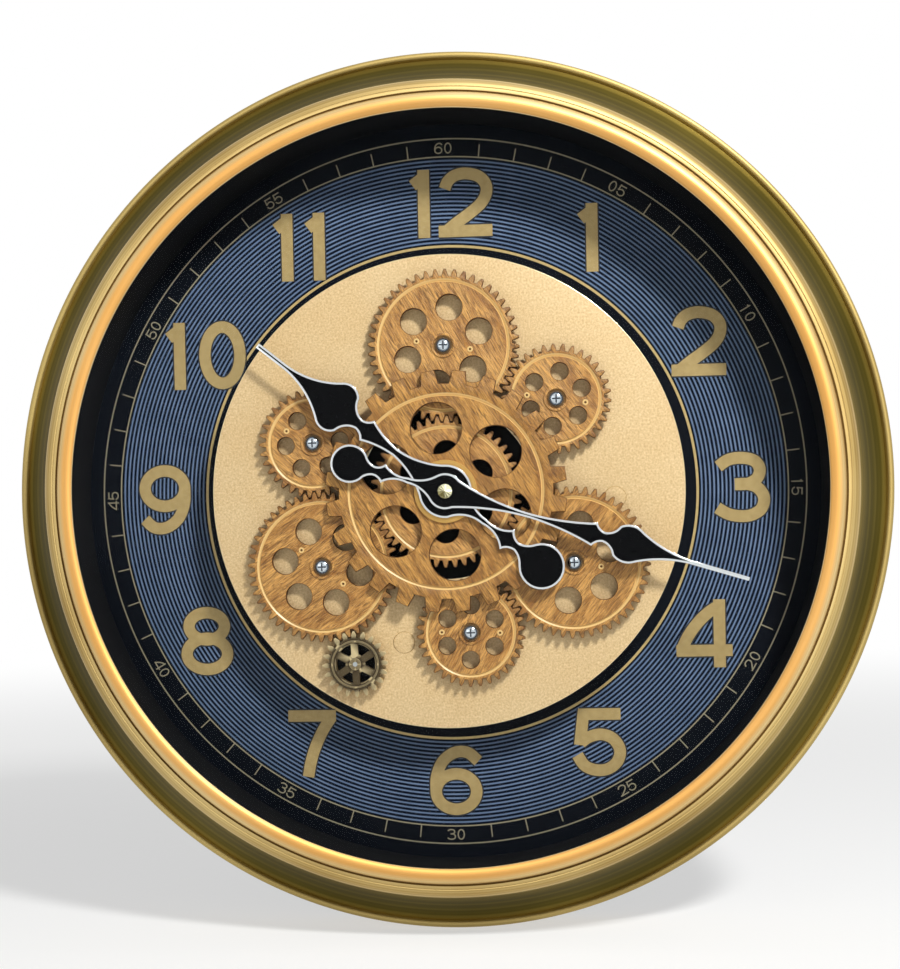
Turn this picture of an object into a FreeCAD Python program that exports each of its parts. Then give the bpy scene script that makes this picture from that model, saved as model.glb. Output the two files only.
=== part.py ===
import FreeCAD, Part
import Sketcher
import math
import os
from types import SimpleNamespace

# Round wall clock with wood-grain gears turning on a raised plate in the middle of its dial.
# Each sub-part is drawn as the clock is seen from the front: x to the right, y towards twelve,
# and z from the wall towards the viewer. Placements then stand it up: z becomes -Y, y becomes +Z.
# The origin is the keyhole that the clock hangs from, on the wall plane.

# Driving dimensions in millimetres, with counts and angles that do not follow from others
SIZES = {
    # case and hanging
    "hang_inset": 64.0,
    "hanger_sheet": 1.2,
    "back_thickness": 3.0,
    "back_inset": 3.0,
    "dial_depth": 28.0,
    "dial_thickness": 3.0,
    "seat_gap": 0.3,
    "fit_gap": 0.05,
    # spun metal frame
    "opening_radius": 245.6,
    "frame_wall": 1.6,
    "side_inset": 2.0,
    "band_width": 11.4,
    "band_rise": 3.1,
    "groove_width": 1.6,
    "groove_depth": 1.1,
    "bead_width": 9.2,
    "bead_drop": 9.0,
    "cove_width": 24.2,
    "cove_drop": 35.0,
    "roll_width": 4.8,
    "roll_rise": 2.2,
    "flange_width": 18.0,
    # glass and what holds it
    "glass_clearance": 1.0,
    "glass_thickness": 2.5,
    "gasket_thickness": 0.5,
    "gasket_width": 4.6,
    "lip_cover": 3.9,
    "skirt_wall": 2.5,
    "dial_margin": 2.5,
    "dial_hole_radius": 85.0,
    # raised plate and its drum
    "plate_radius": 157.0,
    "plate_thickness": 2.5,
    "plate_hole_radius": 57.5,
    "drum_height": 25.5,
    "drum_inset": 1.0,
    "drum_wall": 2.5,
    "drum_flange": 11.0,
    "drum_flange_thickness": 2.5,
    "cap_radius": 7.0,
    "cap_thickness": 1.2,
    "plate_post_radius": 6.0,
    "cap_shank_radius": 2.0,
    "cap_shank_length": 9.0,
    "low_cap_reach": 104.0,
    "right_cap_reach": 111.0,
    "hidden_cap_reach": 92.0,
    # toothed wheels
    "gear_module": 2.0,
    "backlash": 0.25,
    "small_ring_radius": 94.1,
    "gear_gap": 3.0,
    "wheel_thickness": 4.0,
    "rim_band": 3.6,
    "rim_groove": 1.4,
    "rim_groove_depth": 0.7,
    "large_hole_reach": 25.1,
    "large_hole_radius": 8.7,
    "large_pip_reach": 17.8,
    "small_hole_reach": 18.0,
    "small_hole_radius": 5.8,
    "small_pip_reach": 19.2,
    "pip_radius": 1.9,
    "pip_bore_radius": 0.8,
    "pip_rise": 0.35,
    "boss_radius": 8.1,
    "boss_rise": 0.8,
    "boss_recess_radius": 6.4,
    "boss_recess_depth": 0.6,
    # axle posts, washers and screws of the six wheels
    "axle_radius": 3.5,
    "axle_flange_radius": 4.5,
    "axle_flange_thickness": 0.8,
    "axle_spigot_radius": 2.5,
    "axle_tap_radius": 1.6,
    "washer_radius": 5.6,
    "washer_thickness": 0.6,
    "screw_head_radius": 4.4,
    "screw_rim_thickness": 0.9,
    "screw_dome_thickness": 1.5,
    "screw_length": 7.0,
    "screw_cross_reach": 2.8,
    "screw_cross_width": 1.0,
    "screw_cross_depth": 1.1,
    # drive pinion, its shaft, gearbox and motor
    "pinion_rim_radius": 15.9,
    "pinion_rim_width": 1.3,
    "pinion_rim_rise": 0.8,
    "pinion_web_drop": 1.0,
    "pinion_window_inner": 6.6,
    "pinion_window_outer": 13.2,
    "pinion_hub_radius": 4.0,
    "shaft_radius": 1.5,
    "shaft_grip": 8.0,
    "gearbox_radius": 15.0,
    "gearbox_height": 12.0,
    "gearbox_ear_reach": 20.0,
    "gearbox_ear_radius": 4.0,
    "gearbox_ear_thickness": 2.0,
    "motor_radius": 12.0,
    "motor_gap": 1.0,
    "shaft_clearance_radius": 13.2,
    # central wheels
    "bush_radius": 12.0,
    "bush_collar_radius": 20.7,
    "bush_collar_thickness": 1.5,
    "bush_recess_radius": 13.0,
    "coarse_gap": 1.0,
    "coarse_tip_radius": 79.3,
    "coarse_root_radius": 70.6,
    "coarse_tip_width": 8.8,
    "coarse_root_width": 12.2,
    "coarse_thickness": 4.0,
    "coarse_hole_reach": 41.9,
    "coarse_hole_radius": 16.9,
    "coarse_groove_radius": 62.8,
    "coarse_hub_radius": 16.0,
    "clip_thickness": 1.2,
    "clip_width": 3.0,
    # movement and its carrier
    "carrier_depth": 15.5,
    "carrier_floor": 2.5,
    "carrier_wall": 2.5,
    "carrier_clear": 2.0,
    "carrier_flange": 5.5,
    "carrier_flange_thickness": 1.5,
    "tube_radius": 9.0,
    "stem_radius": 4.5,
    "stem_stand": 0.5,
    "movement_width": 56.0,
    "movement_thickness": 16.0,
    "movement_corner": 4.0,
    "movement_skin": 1.4,
    "stem_washer_radius": 12.4,
    "stem_washer_thickness": 0.8,
    "stem_nut_radius": 7.0,
    "stem_nut_thickness": 2.2,
    "pipe_radius": 3.0,
    "pipe_bore_radius": 1.58,
    "arbor_radius": 1.5,
    "stem_bore_radius": 3.08,
    "output_depth": 6.0,
    "knob_radius": 6.0,
    "knob_thickness": 4.0,
    "knob_offset": 14.0,
    "knob_shaft_radius": 1.5,
    # hands
    "hour_gap": 0.7,
    "hand_thickness": 1.0,
    "minute_gap": 0.8,
    "hour_reach": 156.5,
    "hour_blade_half": 17.5,
    "minute_reach": 204.4,
    "minute_blade_half": 12.5,
    "nut_radius": 4.8,
    "nut_thickness": 2.5,
    "nut_top_radius": 3.0,
    # cells and battery tray
    "cell_radius": 7.1,
    "cell_length": 49.0,
    "cell_nub_radius": 2.6,
    "cell_nub_length": 1.4,
    "bay_length": 51.5,
    "bay_width": 15.0,
    "bay_rim": 1.0,
    "tray_drop": 62.0,
    "tray_wall": 1.6,
    "tray_depth": 17.0,
    "tray_lip": 5.0,
    "tray_corner": 3.0,
    # fasteners of the case
    "flat_head_radius": 3.0,
    "flat_head_thickness": 1.0,
    "shank_radius": 1.5,
    "shank_length": 10.0,
    "frame_screw_inset": 12.0,
    "frame_screw_length": 5.4,
    "spacer_inset": 22.5,
    "spacer_radius": 4.0,
    "drum_screw_length": 5.0,
    "small_screw_radius": 1.2,
    "small_head_radius": 2.4,
    "small_head_thickness": 1.2,
    "blind_depth": 1.8,
    # hanger, its keyhole and the wall pads
    "hanger_length": 64.0,
    "hanger_width": 34.0,
    "hanger_corner": 4.0,
    "keyhole_radius": 5.0,
    "keyhole_slot_radius": 2.6,
    "keyhole_slot_rise": 9.0,
    "keyhole_pocket_half": 8.0,
    "hanger_screw_reach": 25.0,
    "window_half": 37.0,
    "window_corner": 5.0,
    "pad_radius": 12.0,
    "pad_inset": 63.0,
}

WHEEL_TEETH = 48
SMALL_TEETH = 34
PINION_TEETH = 20
COARSE_TEETH = 24
WHEEL_HOLES = 6
PINION_WINDOWS = 6
PRESSURE_ANGLE = 20.0
FRAME_SCREWS = 8
SPACERS = 6
DRUM_SCREWS = 6
CARRIER_SCREWS = 3

# Angles on the clock face, in degrees clockwise from twelve
LARGE_ANGLES = {"top": 0.0, "right": 120.0, "left": 240.0}
SMALL_ANGLE_OF = {"upper": "top", "lower": "right", "left": "left"}
CAP_ANGLES = (197.0, 93.0, 309.0)
PAD_ANGLES = (149.0, 211.0)
CENTRE_HOLE_ANGLE = 1.5
COARSE_HOLE_ANGLE = 352.5
LARGE_HOLE_ANGLES = {"top": 9.0, "right": 9.0, "left": 37.0}
SMALL_HOLE_ANGLES = {"upper": 4.0, "lower": 6.5, "left": 31.0}
PINION_DIRECTION = 162.4
PINION_WINDOW_ANGLE = 0.0
REST_MINUTES = 17.88
REST_HOUR = 10

# Half outlines of the hands from tip to tail: shares of the reach along the hand and of the half
# width of its blade across it, with the point that an arc passes through after each corner's own
HOUR_OUTLINE_SHARES = (
    (1.0, 0.103),
    (0.85, 0.103),
    (0.622, 0.834, 0.725, 0.32),
    (0.521, 0.754, 0.569, 1.0),
    (0.459, 0.217, 0.4945, 0.36),
    (0.415, 0.469, 0.4345, 0.286),
    (0.266, 0.154, 0.339, 0.24),
    (0.0767, 0.728, 0.163, 0.337),
    (-0.0767, 0.728, 0.0, 1.0),
    (-0.2045, 0.131, -0.1246, 0.297),
    (-0.328, 0.469, -0.2843, 0.194),
    (-0.3776, 0.177, -0.347, 0.263),
    (-0.4313, 0.514, -0.4077, 0.297),
    (-0.6051, 0.0, -0.5086, 0.863),
)
MINUTE_OUTLINE_SHARES = (
    (1.0, 0.104),
    (0.802, 0.112),
    (0.641, 0.824, 0.7143, 0.352),
    (0.565, 0.784, 0.597, 1.0),
    (0.5235, 0.272, 0.548, 0.416),
    (0.494, 0.624, 0.507, 0.384),
    (0.286, 0.128, 0.391, 0.28),
    (0.0352, 0.748, 0.1468, 0.312),
    (-0.0416, 0.656, 0.0, 0.944),
    (-0.1257, 0.16, -0.0734, 0.312),
    (-0.207, 0.52, -0.18, 0.232),
    (-0.2392, 0.256, -0.2192, 0.328),
    (-0.272, 0.656, -0.2583, 0.392),
    (-0.3806, 0.0, -0.319, 1.008),
)


class Size:
    """A length with its number in millimetres and the sheet expression that gives it."""

    def __init__(self, value, text):
        self.value = value
        self.text = text

    def __add__(self, other):
        return Size(self.value + other.value, f"({self.text} + {other.text})")

    def __sub__(self, other):
        return Size(self.value - other.value, f"({self.text} - {other.text})")

    def __mul__(self, factor):
        return Size(self.value * factor, f"({self.text} * {factor:.9f})")

    def __truediv__(self, factor):
        return Size(self.value / factor, f"({self.text} / {factor:.9f})")

    def __neg__(self):
        return Size(-self.value, f"(-{self.text})")


ZERO = Size(0.0, "0")

doc = FreeCAD.newDocument("gear_clock")
sheet = doc.addObject("Spreadsheet::Sheet", "Sizes")
for row, (alias, number) in enumerate(SIZES.items(), start=1):
    sheet.set(f"A{row}", alias)
    sheet.set(f"B{row}", str(number))
    sheet.setAlias(f"B{row}", alias)
doc.recompute()
size = SimpleNamespace(**{alias: Size(float(sheet.get(alias)), f"Sizes.{alias}") for alias in SIZES})

sub_parts = []


# Ways of drawing that every piece shares

def place(piece, x=ZERO, y=ZERO, level=ZERO, turn=0.0):
    """Stand a piece up at a point of the clock face, at a level above the wall, turned anticlockwise."""
    piece.Placement = FreeCAD.Placement(
        FreeCAD.Vector(x.value, -level.value, y.value - hang_drop.value),
        FreeCAD.Rotation(FreeCAD.Vector(1, 0, 0), 90) * FreeCAD.Rotation(FreeCAD.Vector(0, 0, 1), turn))
    piece.setExpression("Placement.Base.x", x.text)
    piece.setExpression("Placement.Base.y", (-level).text)
    piece.setExpression("Placement.Base.z", (y - hang_drop).text)
    sub_parts.append(piece)


def on_circle(reach, clock_angle):
    """The point at a reach from the dial's centre, at an angle clockwise from twelve."""
    angle = math.radians(clock_angle)
    return reach * math.sin(angle), reach * math.cos(angle)


def ring_of(reach, count, first_angle=0.0):
    return [on_circle(reach, first_angle + 360.0 * number / count) for number in range(count)]


def body_named(label):
    body = doc.addObject("PartDesign::Body", label)
    body.Label = label
    body.AllowCompound = True
    return body


def sketch_on(body, role, level=ZERO):
    sketch = body.newObject("Sketcher::SketchObject", f"{body.Label}_sketch")
    plane = next(feature for feature in body.Origin.OriginFeatures if feature.Role == role)
    sketch.AttachmentSupport = [(plane, "")]
    sketch.MapMode = "FlatFace"
    if level is not ZERO:
        sketch.setExpression("AttachmentOffset.Base.z", level.text)
    return sketch


def hold(sketch, kind, geometry, position, length):
    """Fix a point's distance from the sketch's origin along x or y."""
    if length is ZERO:
        axis = -2 if kind == "DistanceX" else -1
        sketch.addConstraint(Sketcher.Constraint("PointOnObject", geometry, position, axis))
        return
    number = sketch.addConstraint(Sketcher.Constraint(kind, -1, 1, geometry, position, length.value))
    sketch.setExpression(f"Constraints[{number}]", length.text)


def draw_circle(sketch, x, y, radius):
    centre = FreeCAD.Vector(x.value, y.value, 0)
    circle = sketch.addGeometry(Part.Circle(centre, FreeCAD.Vector(0, 0, 1), radius.value))
    number = sketch.addConstraint(Sketcher.Constraint("Radius", circle, radius.value))
    sketch.setExpression(f"Constraints[{number}]", radius.text)
    hold(sketch, "DistanceX", circle, 3, x)
    hold(sketch, "DistanceY", circle, 3, y)


def draw_outline(sketch, corners):
    """A closed outline. A corner is (x, y), or (x, y, via_x, via_y) where an arc comes to it."""
    ends = []
    for number, corner in enumerate(corners):
        before = FreeCAD.Vector(corners[number - 1][0].value, corners[number - 1][1].value, 0)
        here = FreeCAD.Vector(corner[0].value, corner[1].value, 0)
        if len(corner) == 2:
            ends.append((sketch.addGeometry(Part.LineSegment(before, here)), 1, 2))
            continue
        via = FreeCAD.Vector(corner[2].value, corner[3].value, 0)
        arc = sketch.addGeometry(Part.Arc(before, via, here))
        start = sketch.getPoint(arc, 1)
        runs_back = start.distanceToPoint(before) > start.distanceToPoint(here)
        ends.append((arc, 2, 1) if runs_back else (arc, 1, 2))
        dot = sketch.addGeometry(Part.Point(via), True)
        hold(sketch, "DistanceX", dot, 1, corner[2])
        hold(sketch, "DistanceY", dot, 1, corner[3])
        sketch.addConstraint(Sketcher.Constraint("PointOnObject", dot, 1, arc))
    for number, corner in enumerate(corners):
        edge, _, finish = ends[number]
        after, start, _ = ends[(number + 1) % len(corners)]
        sketch.addConstraint(Sketcher.Constraint("Coincident", edge, finish, after, start))
        hold(sketch, "DistanceX", edge, finish, corner[0])
        hold(sketch, "DistanceY", edge, finish, corner[1])


def draw(sketch, shapes):
    """Circles are (x, y, radius), outlines are lists of corners."""
    for shape in shapes:
        if isinstance(shape, list):
            draw_outline(sketch, shape)
        else:
            draw_circle(sketch, *shape)


def pad(body, shapes, bottom, top):
    sketch = sketch_on(body, "XY_Plane", bottom)
    draw(sketch, shapes)
    feature = body.newObject("PartDesign::Pad", f"{body.Label}_pad")
    feature.Profile = sketch
    feature.setExpression("Length", (top - bottom).text)
    return feature, sketch


def pocket(body, shapes, top, depth):
    """Cut the shapes down from a level, towards the wall."""
    sketch = sketch_on(body, "XY_Plane", top)
    draw(sketch, shapes)
    feature = body.newObject("PartDesign::Pocket", f"{body.Label}_pocket")
    feature.Profile = sketch
    feature.setExpression("Length", depth.text)
    return feature, sketch


def repeat(body, feature, sketch, count):
    pattern = body.newObject("PartDesign::PolarPattern", f"{body.Label}_pattern")
    pattern.Originals = [feature]
    pattern.Axis = (sketch, ["N_Axis"])
    pattern.Angle = 360
    pattern.Occurrences = count
    body.Tip = pattern


def layered(label, layers):
    """A piece or group of like pieces made of flat layers: (shapes, bottom, top)."""
    body = body_named(label)
    for shapes, bottom, top in layers:
        pad(body, shapes, bottom, top)
    return body


def stacked(label, places, steps):
    """Like pieces at several places, each a stack of round steps: (radius, bore or None, bottom, top)."""
    layers = []
    for radius, bore, bottom, top in steps:
        shapes = [(x, y, radius) for x, y in places]
        if bore is not None:
            shapes += [(x, y, bore) for x, y in places]
        layers.append((shapes, bottom, top))
    return layered(label, layers)


def turned(label, corners):
    """A piece turned about its own axis from an outline of radius and level."""
    body = body_named(label)
    sketch = sketch_on(body, "XZ_Plane")
    draw_outline(sketch, corners)
    feature = body.newObject("PartDesign::Revolution", f"{label}_revolution")
    feature.Profile = sketch
    feature.ReferenceAxis = (sketch, ["V_Axis"])
    feature.Angle = 360
    return body


def turned_group(label, places, corners):
    """Like pieces at several places, each turned about its own axis from the same outline."""
    body = body_named(label)
    for x, y in places:
        sketch = sketch_on(body, "XZ_Plane", -y)
        draw_outline(sketch, [tuple(length if number % 2 else x + length
                                    for number, length in enumerate(corner)) for corner in corners])
        low, high = corners[0][1], corners[-1][1]
        axis = sketch.addGeometry(Part.LineSegment(
            FreeCAD.Vector(x.value, low.value, 0), FreeCAD.Vector(x.value, high.value, 0)), True)
        for end, level in ((1, low), (2, high)):
            hold(sketch, "DistanceX", axis, end, x)
            hold(sketch, "DistanceY", axis, end, level)
        feature = body.newObject("PartDesign::Revolution", f"{label}_revolution")
        feature.Profile = sketch
        feature.ReferenceAxis = (sketch, ["Axis0"])
        feature.Angle = 360
    return body


def cross_outline(x, y, reach, half_width):
    """Corners of an upright cross about a point."""
    arms = ((1, 0), (0, 1), (-1, 0), (0, -1))
    corners = []
    for along_x, along_y in arms:
        for side in (-1, 1):
            corners.append((x + reach * along_x - half_width * (side * along_y),
                            y + reach * along_y + half_width * (side * along_x)))
        corners.append((x + half_width * (along_x - along_y), y + half_width * (along_x + along_y)))
    return corners


def rounded_rectangle(x, y, half_width, half_height, corner):
    """Corners of a rectangle about a point, each rounded by an arc."""
    bulge = corner * (1 - math.sqrt(0.5))
    left, right = x - half_width, x + half_width
    low, high = y - half_height, y + half_height
    return [
        (right - corner, low),
        (right, low + corner, right - bulge, low + bulge),
        (right, high - corner),
        (right - corner, high, right - bulge, high - bulge),
        (left + corner, high),
        (left, high - corner, left + bulge, high - bulge),
        (left, low + corner),
        (left + corner, low, left + bulge, low + bulge),
    ]


# Levels above the wall, from the back board to the frame's lip

back_rear = size.hanger_sheet
back_front = back_rear + size.back_thickness
dial_rear = size.dial_depth - size.dial_thickness
dial_front = size.dial_depth
plate_rear = dial_front + size.drum_height
plate_front = plate_rear + size.plate_thickness
wheel_rear = plate_front + size.gear_gap
wheel_front = wheel_rear + size.wheel_thickness
coarse_rear = wheel_front + size.coarse_gap
coarse_front = coarse_rear + size.coarse_thickness
collar_front = coarse_front + size.bush_collar_thickness
hour_rear = collar_front + size.hour_gap
hour_front = hour_rear + size.hand_thickness
minute_rear = hour_front + size.minute_gap
minute_front = minute_rear + size.hand_thickness
nut_front = minute_front + size.nut_thickness
glass_rear = nut_front + size.glass_clearance
glass_front = glass_rear + size.glass_thickness
lip_rear = glass_front + size.gasket_thickness

# Radii of the frame from its opening out, and of what it covers

band_edge = size.opening_radius + size.band_width
bead_start = band_edge + size.groove_width / 2
bead_end = bead_start + size.bead_width
cove_end = bead_end + size.cove_width
clock_radius = cove_end + size.roll_width
side_radius = clock_radius - size.side_inset
skirt_radius = size.opening_radius + size.lip_cover
glass_radius = skirt_radius + size.skirt_wall
dial_radius = glass_radius + size.dial_margin
hang_drop = clock_radius - size.hang_inset

# Places on the clock face

module = size.gear_module
large_reach = module * WHEEL_TEETH
large_places = {name: on_circle(large_reach, angle) for name, angle in LARGE_ANGLES.items()}
small_distance = (WHEEL_TEETH + SMALL_TEETH) / 2 * module.value
small_cosine = ((size.small_ring_radius.value ** 2 + large_reach.value ** 2 - small_distance ** 2)
                / (2 * size.small_ring_radius.value * large_reach.value))
small_step = math.degrees(math.acos(small_cosine))
small_angles = {name: LARGE_ANGLES[driver] + small_step for name, driver in SMALL_ANGLE_OF.items()}
small_places = {name: on_circle(size.small_ring_radius, angle) for name, angle in small_angles.items()}
axle_places = list(large_places.values()) + list(small_places.values())
pinion_step = on_circle(module * ((WHEEL_TEETH + PINION_TEETH) / 2), PINION_DIRECTION)
pinion_place = (large_places["left"][0] + pinion_step[0], large_places["left"][1] + pinion_step[1])
cap_places = [on_circle(reach, angle) for reach, angle in zip(
    (size.low_cap_reach, size.right_cap_reach, size.hidden_cap_reach), CAP_ANGLES)]

# Spun metal frame: inner lip and crowned band, groove, bead, cove, rolled edge, side wall and flange

lip_front = lip_rear + size.band_rise / 3
groove_shoulder = lip_front - size.band_rise * 0.85
groove_floor = groove_shoulder - size.groove_depth
bead_low = groove_shoulder - size.bead_drop
cove_low = bead_low - size.cove_drop
wall = size.frame_wall
frame = turned("bezel_frame", [
    (size.opening_radius, lip_rear),
    (size.opening_radius, lip_front),
    (band_edge - size.groove_width / 2, groove_shoulder,
     size.opening_radius + size.band_width * 0.42, lip_rear + size.band_rise),
    (band_edge, groove_floor),
    (bead_start, groove_shoulder),
    (bead_end, bead_low, bead_start + size.bead_width * 0.66, groove_shoulder - size.bead_drop * 0.28),
    (cove_end, cove_low, bead_end + size.cove_width * 0.34, bead_low - size.cove_drop * 0.58),
    (clock_radius, cove_low - size.roll_rise * 0.6,
     (cove_end + clock_radius) / 2, cove_low + size.roll_rise),
    (side_radius, cove_low - size.roll_rise * 2.2,
     clock_radius - size.side_inset * 0.2, cove_low - size.roll_rise * 1.5),
    (side_radius, back_front),
    (side_radius - size.flange_width, back_front),
    (side_radius - size.flange_width, back_front + wall),
    (side_radius - wall, back_front + wall),
    (side_radius - wall, cove_low - size.roll_rise * 2.2),
    (cove_end - wall * 0.3, cove_low - wall),
    (bead_end - wall, bead_low - wall * 0.3,
     bead_end + size.cove_width * 0.34 - wall * 0.76, bead_low - size.cove_drop * 0.58 - wall * 0.65),
    (bead_start + size.bead_width * 0.45, groove_shoulder - size.bead_drop * 0.28 - wall),
    (glass_radius + wall, groove_floor - wall),
    (glass_radius + wall / 2, lip_rear),
])
place(frame)

# Flat glass, the soft gasket over its edge and the black wall that it rests on

place(layered("glass", [([(ZERO, ZERO, glass_radius)], glass_rear, glass_front)]))
gasket_radius = size.opening_radius + size.seat_gap * 2
place(layered("glass_gasket", [
    ([(ZERO, ZERO, gasket_radius + size.gasket_width), (ZERO, ZERO, gasket_radius)],
     glass_front, lip_rear)]))
place(layered("dial_skirt", [
    ([(ZERO, ZERO, glass_radius), (ZERO, ZERO, skirt_radius)], dial_front, glass_rear)]))

# Dial board, with clearance holes for the screws of the drum

drum_radius = size.plate_radius - size.drum_inset
drum_flange_radius = drum_radius - size.drum_flange
drum_screw_reach = (drum_radius - size.drum_wall + drum_flange_radius) / 2
drum_screw_places = ring_of(drum_screw_reach, DRUM_SCREWS, 30.0)
shank_hole = size.shank_radius + size.fit_gap
place(layered("dial_board", [
    ([(ZERO, ZERO, dial_radius), (ZERO, ZERO, size.dial_hole_radius)]
     + [(x, y, shank_hole) for x, y in drum_screw_places], dial_rear, dial_front)]))

# Black drum under the gear plate, with an inward foot screwed to the dial board

foot_top = dial_front + size.drum_flange_thickness
place(layered("gear_drum", [
    ([(ZERO, ZERO, drum_radius), (ZERO, ZERO, drum_flange_radius)]
     + [(x, y, shank_hole) for x, y in drum_screw_places], dial_front, foot_top),
    ([(ZERO, ZERO, drum_radius), (ZERO, ZERO, drum_radius - size.drum_wall)], foot_top, plate_rear)]))
place(stacked("drum_screws", drum_screw_places, [
    (size.flat_head_radius, None, dial_rear - size.flat_head_thickness, dial_rear),
    (size.shank_radius, None, dial_rear, dial_rear + size.drum_screw_length)]))

# Gear plate: seats for the caps in front, blind holes behind, and holes through for posts and shaft

carrier_radius = size.plate_hole_radius + size.carrier_clear + size.carrier_wall
carrier_screw_reach = carrier_radius + size.carrier_flange / 2
carrier_screw_places = ring_of(carrier_screw_reach, CARRIER_SCREWS, 60.0)
gearbox_ears = [(pinion_place[0] + size.gearbox_ear_reach, pinion_place[1]),
                (pinion_place[0] - size.gearbox_ear_reach, pinion_place[1])]
small_hole = size.small_screw_radius + size.fit_gap
spigot_hole = size.axle_spigot_radius + size.fit_gap
cap_shank_hole = size.cap_shank_radius + size.fit_gap
cap_seat = size.cap_radius + size.fit_gap
plate_outline = [(ZERO, ZERO, size.plate_radius), (ZERO, ZERO, size.plate_hole_radius)]
through = [(x, y, spigot_hole) for x, y in axle_places]
shaft_hole = (pinion_place[0], pinion_place[1], size.shaft_clearance_radius)
blind = [(x, y, small_hole) for x, y in carrier_screw_places + gearbox_ears]
cap_floor = plate_front - size.cap_thickness
blind_top = plate_rear + size.blind_depth
plate = layered("gear_plate", [(plate_outline + through, plate_rear, plate_front)])
pocket(plate, [shaft_hole], plate_front, size.plate_thickness)
pocket(plate, [(x, y, cap_shank_hole) for x, y in cap_places], plate_front, size.plate_thickness)
pocket(plate, [(x, y, cap_seat) for x, y in cap_places], plate_front, size.cap_thickness)
pocket(plate, blind, blind_top, size.blind_depth)
place(plate)
place(stacked("plate_screws", cap_places, [
    (size.cap_shank_radius, None, cap_floor - size.cap_shank_length, cap_floor),
    (size.cap_radius, None, cap_floor, plate_front)]))
post_bore_floor = cap_floor - size.cap_shank_length - size.seat_gap
place(stacked("plate_posts", cap_places, [
    (size.plate_post_radius, None, dial_front, post_bore_floor),
    (size.plate_post_radius, cap_shank_hole, post_bore_floor, plate_rear)]))

# Axle posts riveted through the plate, with a washer and a cross-slot screw over each wheel

axle_front = wheel_front - size.boss_recess_depth + size.seat_gap
place(stacked("axle_posts", axle_places, [
    (size.axle_flange_radius, None, plate_rear - size.axle_flange_thickness, plate_rear),
    (size.axle_spigot_radius, None, plate_rear, plate_front),
    (size.axle_radius, size.axle_tap_radius, plate_front, axle_front)]))
washer_front = axle_front + size.washer_thickness
place(stacked("axle_washers", axle_places, [
    (size.washer_radius, size.axle_tap_radius, axle_front, washer_front)]))
head_rim = washer_front + size.screw_rim_thickness
head_front = head_rim + size.screw_dome_thickness
screw_shank_radius = size.axle_tap_radius - size.fit_gap
axle_screws = turned_group("axle_screws", axle_places, [
    (ZERO, washer_front - size.screw_length),
    (screw_shank_radius, washer_front - size.screw_length),
    (screw_shank_radius, washer_front),
    (size.screw_head_radius, washer_front),
    (size.screw_head_radius, head_rim),
    (ZERO, head_front, size.screw_head_radius * 0.6, head_front - size.screw_dome_thickness * 0.3),
])
pocket(axle_screws, [cross_outline(x, y, size.screw_cross_reach, size.screw_cross_width / 2)
                     for x, y in axle_places],
       head_front + size.seat_gap, size.screw_cross_depth + size.seat_gap)
place(axle_screws)

# Fine-tooth wheels: one involute outline, drawn with straight lines between points of the flanks


def tooth_corners(teeth):
    """Corners of an involute outline with its first tooth on the x axis, and its root radius."""
    pitch_radius = module.value * teeth / 2
    base_radius = pitch_radius * math.cos(math.radians(PRESSURE_ANGLE))
    root_radius = pitch_radius - module.value * 1.25
    tip_radius = pitch_radius + module.value
    half_pitch = math.pi / teeth
    half_tooth = half_pitch / 2 - size.backlash.value / (4 * pitch_radius)

    def half_angle(radius):
        slope = math.acos(min(1.0, base_radius / radius))
        pitch_slope = math.radians(PRESSURE_ANGLE)
        return half_tooth + (math.tan(pitch_slope) - pitch_slope) - (math.tan(slope) - slope)

    flank_start = max(root_radius, base_radius)
    radii = [flank_start, pitch_radius, tip_radius]
    half_flank = [(radius, half_angle(radius)) for radius in radii]
    if root_radius < base_radius:
        half_flank.insert(0, (root_radius, half_angle(base_radius)))
    corners = []
    for number in range(teeth):
        centre = 2 * half_pitch * number
        sides = [(radius, centre - angle) for radius, angle in half_flank]
        sides += [(radius, centre + angle) for radius, angle in reversed(half_flank)]
        corners += [FreeCAD.Vector(radius * math.cos(angle), radius * math.sin(angle), 0)
                    for radius, angle in sides]
    return corners, root_radius


def disc(radius, bottom, top, x=0.0, y=0.0):
    return Part.makeCylinder(radius, top - bottom, FreeCAD.Vector(x, y, bottom))


def around(reach, count, first=0.0):
    for number in range(count):
        angle = math.radians(first + 360.0 * number / count)
        yield reach * math.cos(angle), reach * math.sin(angle)


def toothed_disc(teeth):
    corners, root_radius = tooth_corners(teeth)
    face = Part.Face(Part.makePolygon(corners + corners[:1]))
    return face.extrude(FreeCAD.Vector(0, 0, size.wheel_thickness.value)), root_radius


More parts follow.
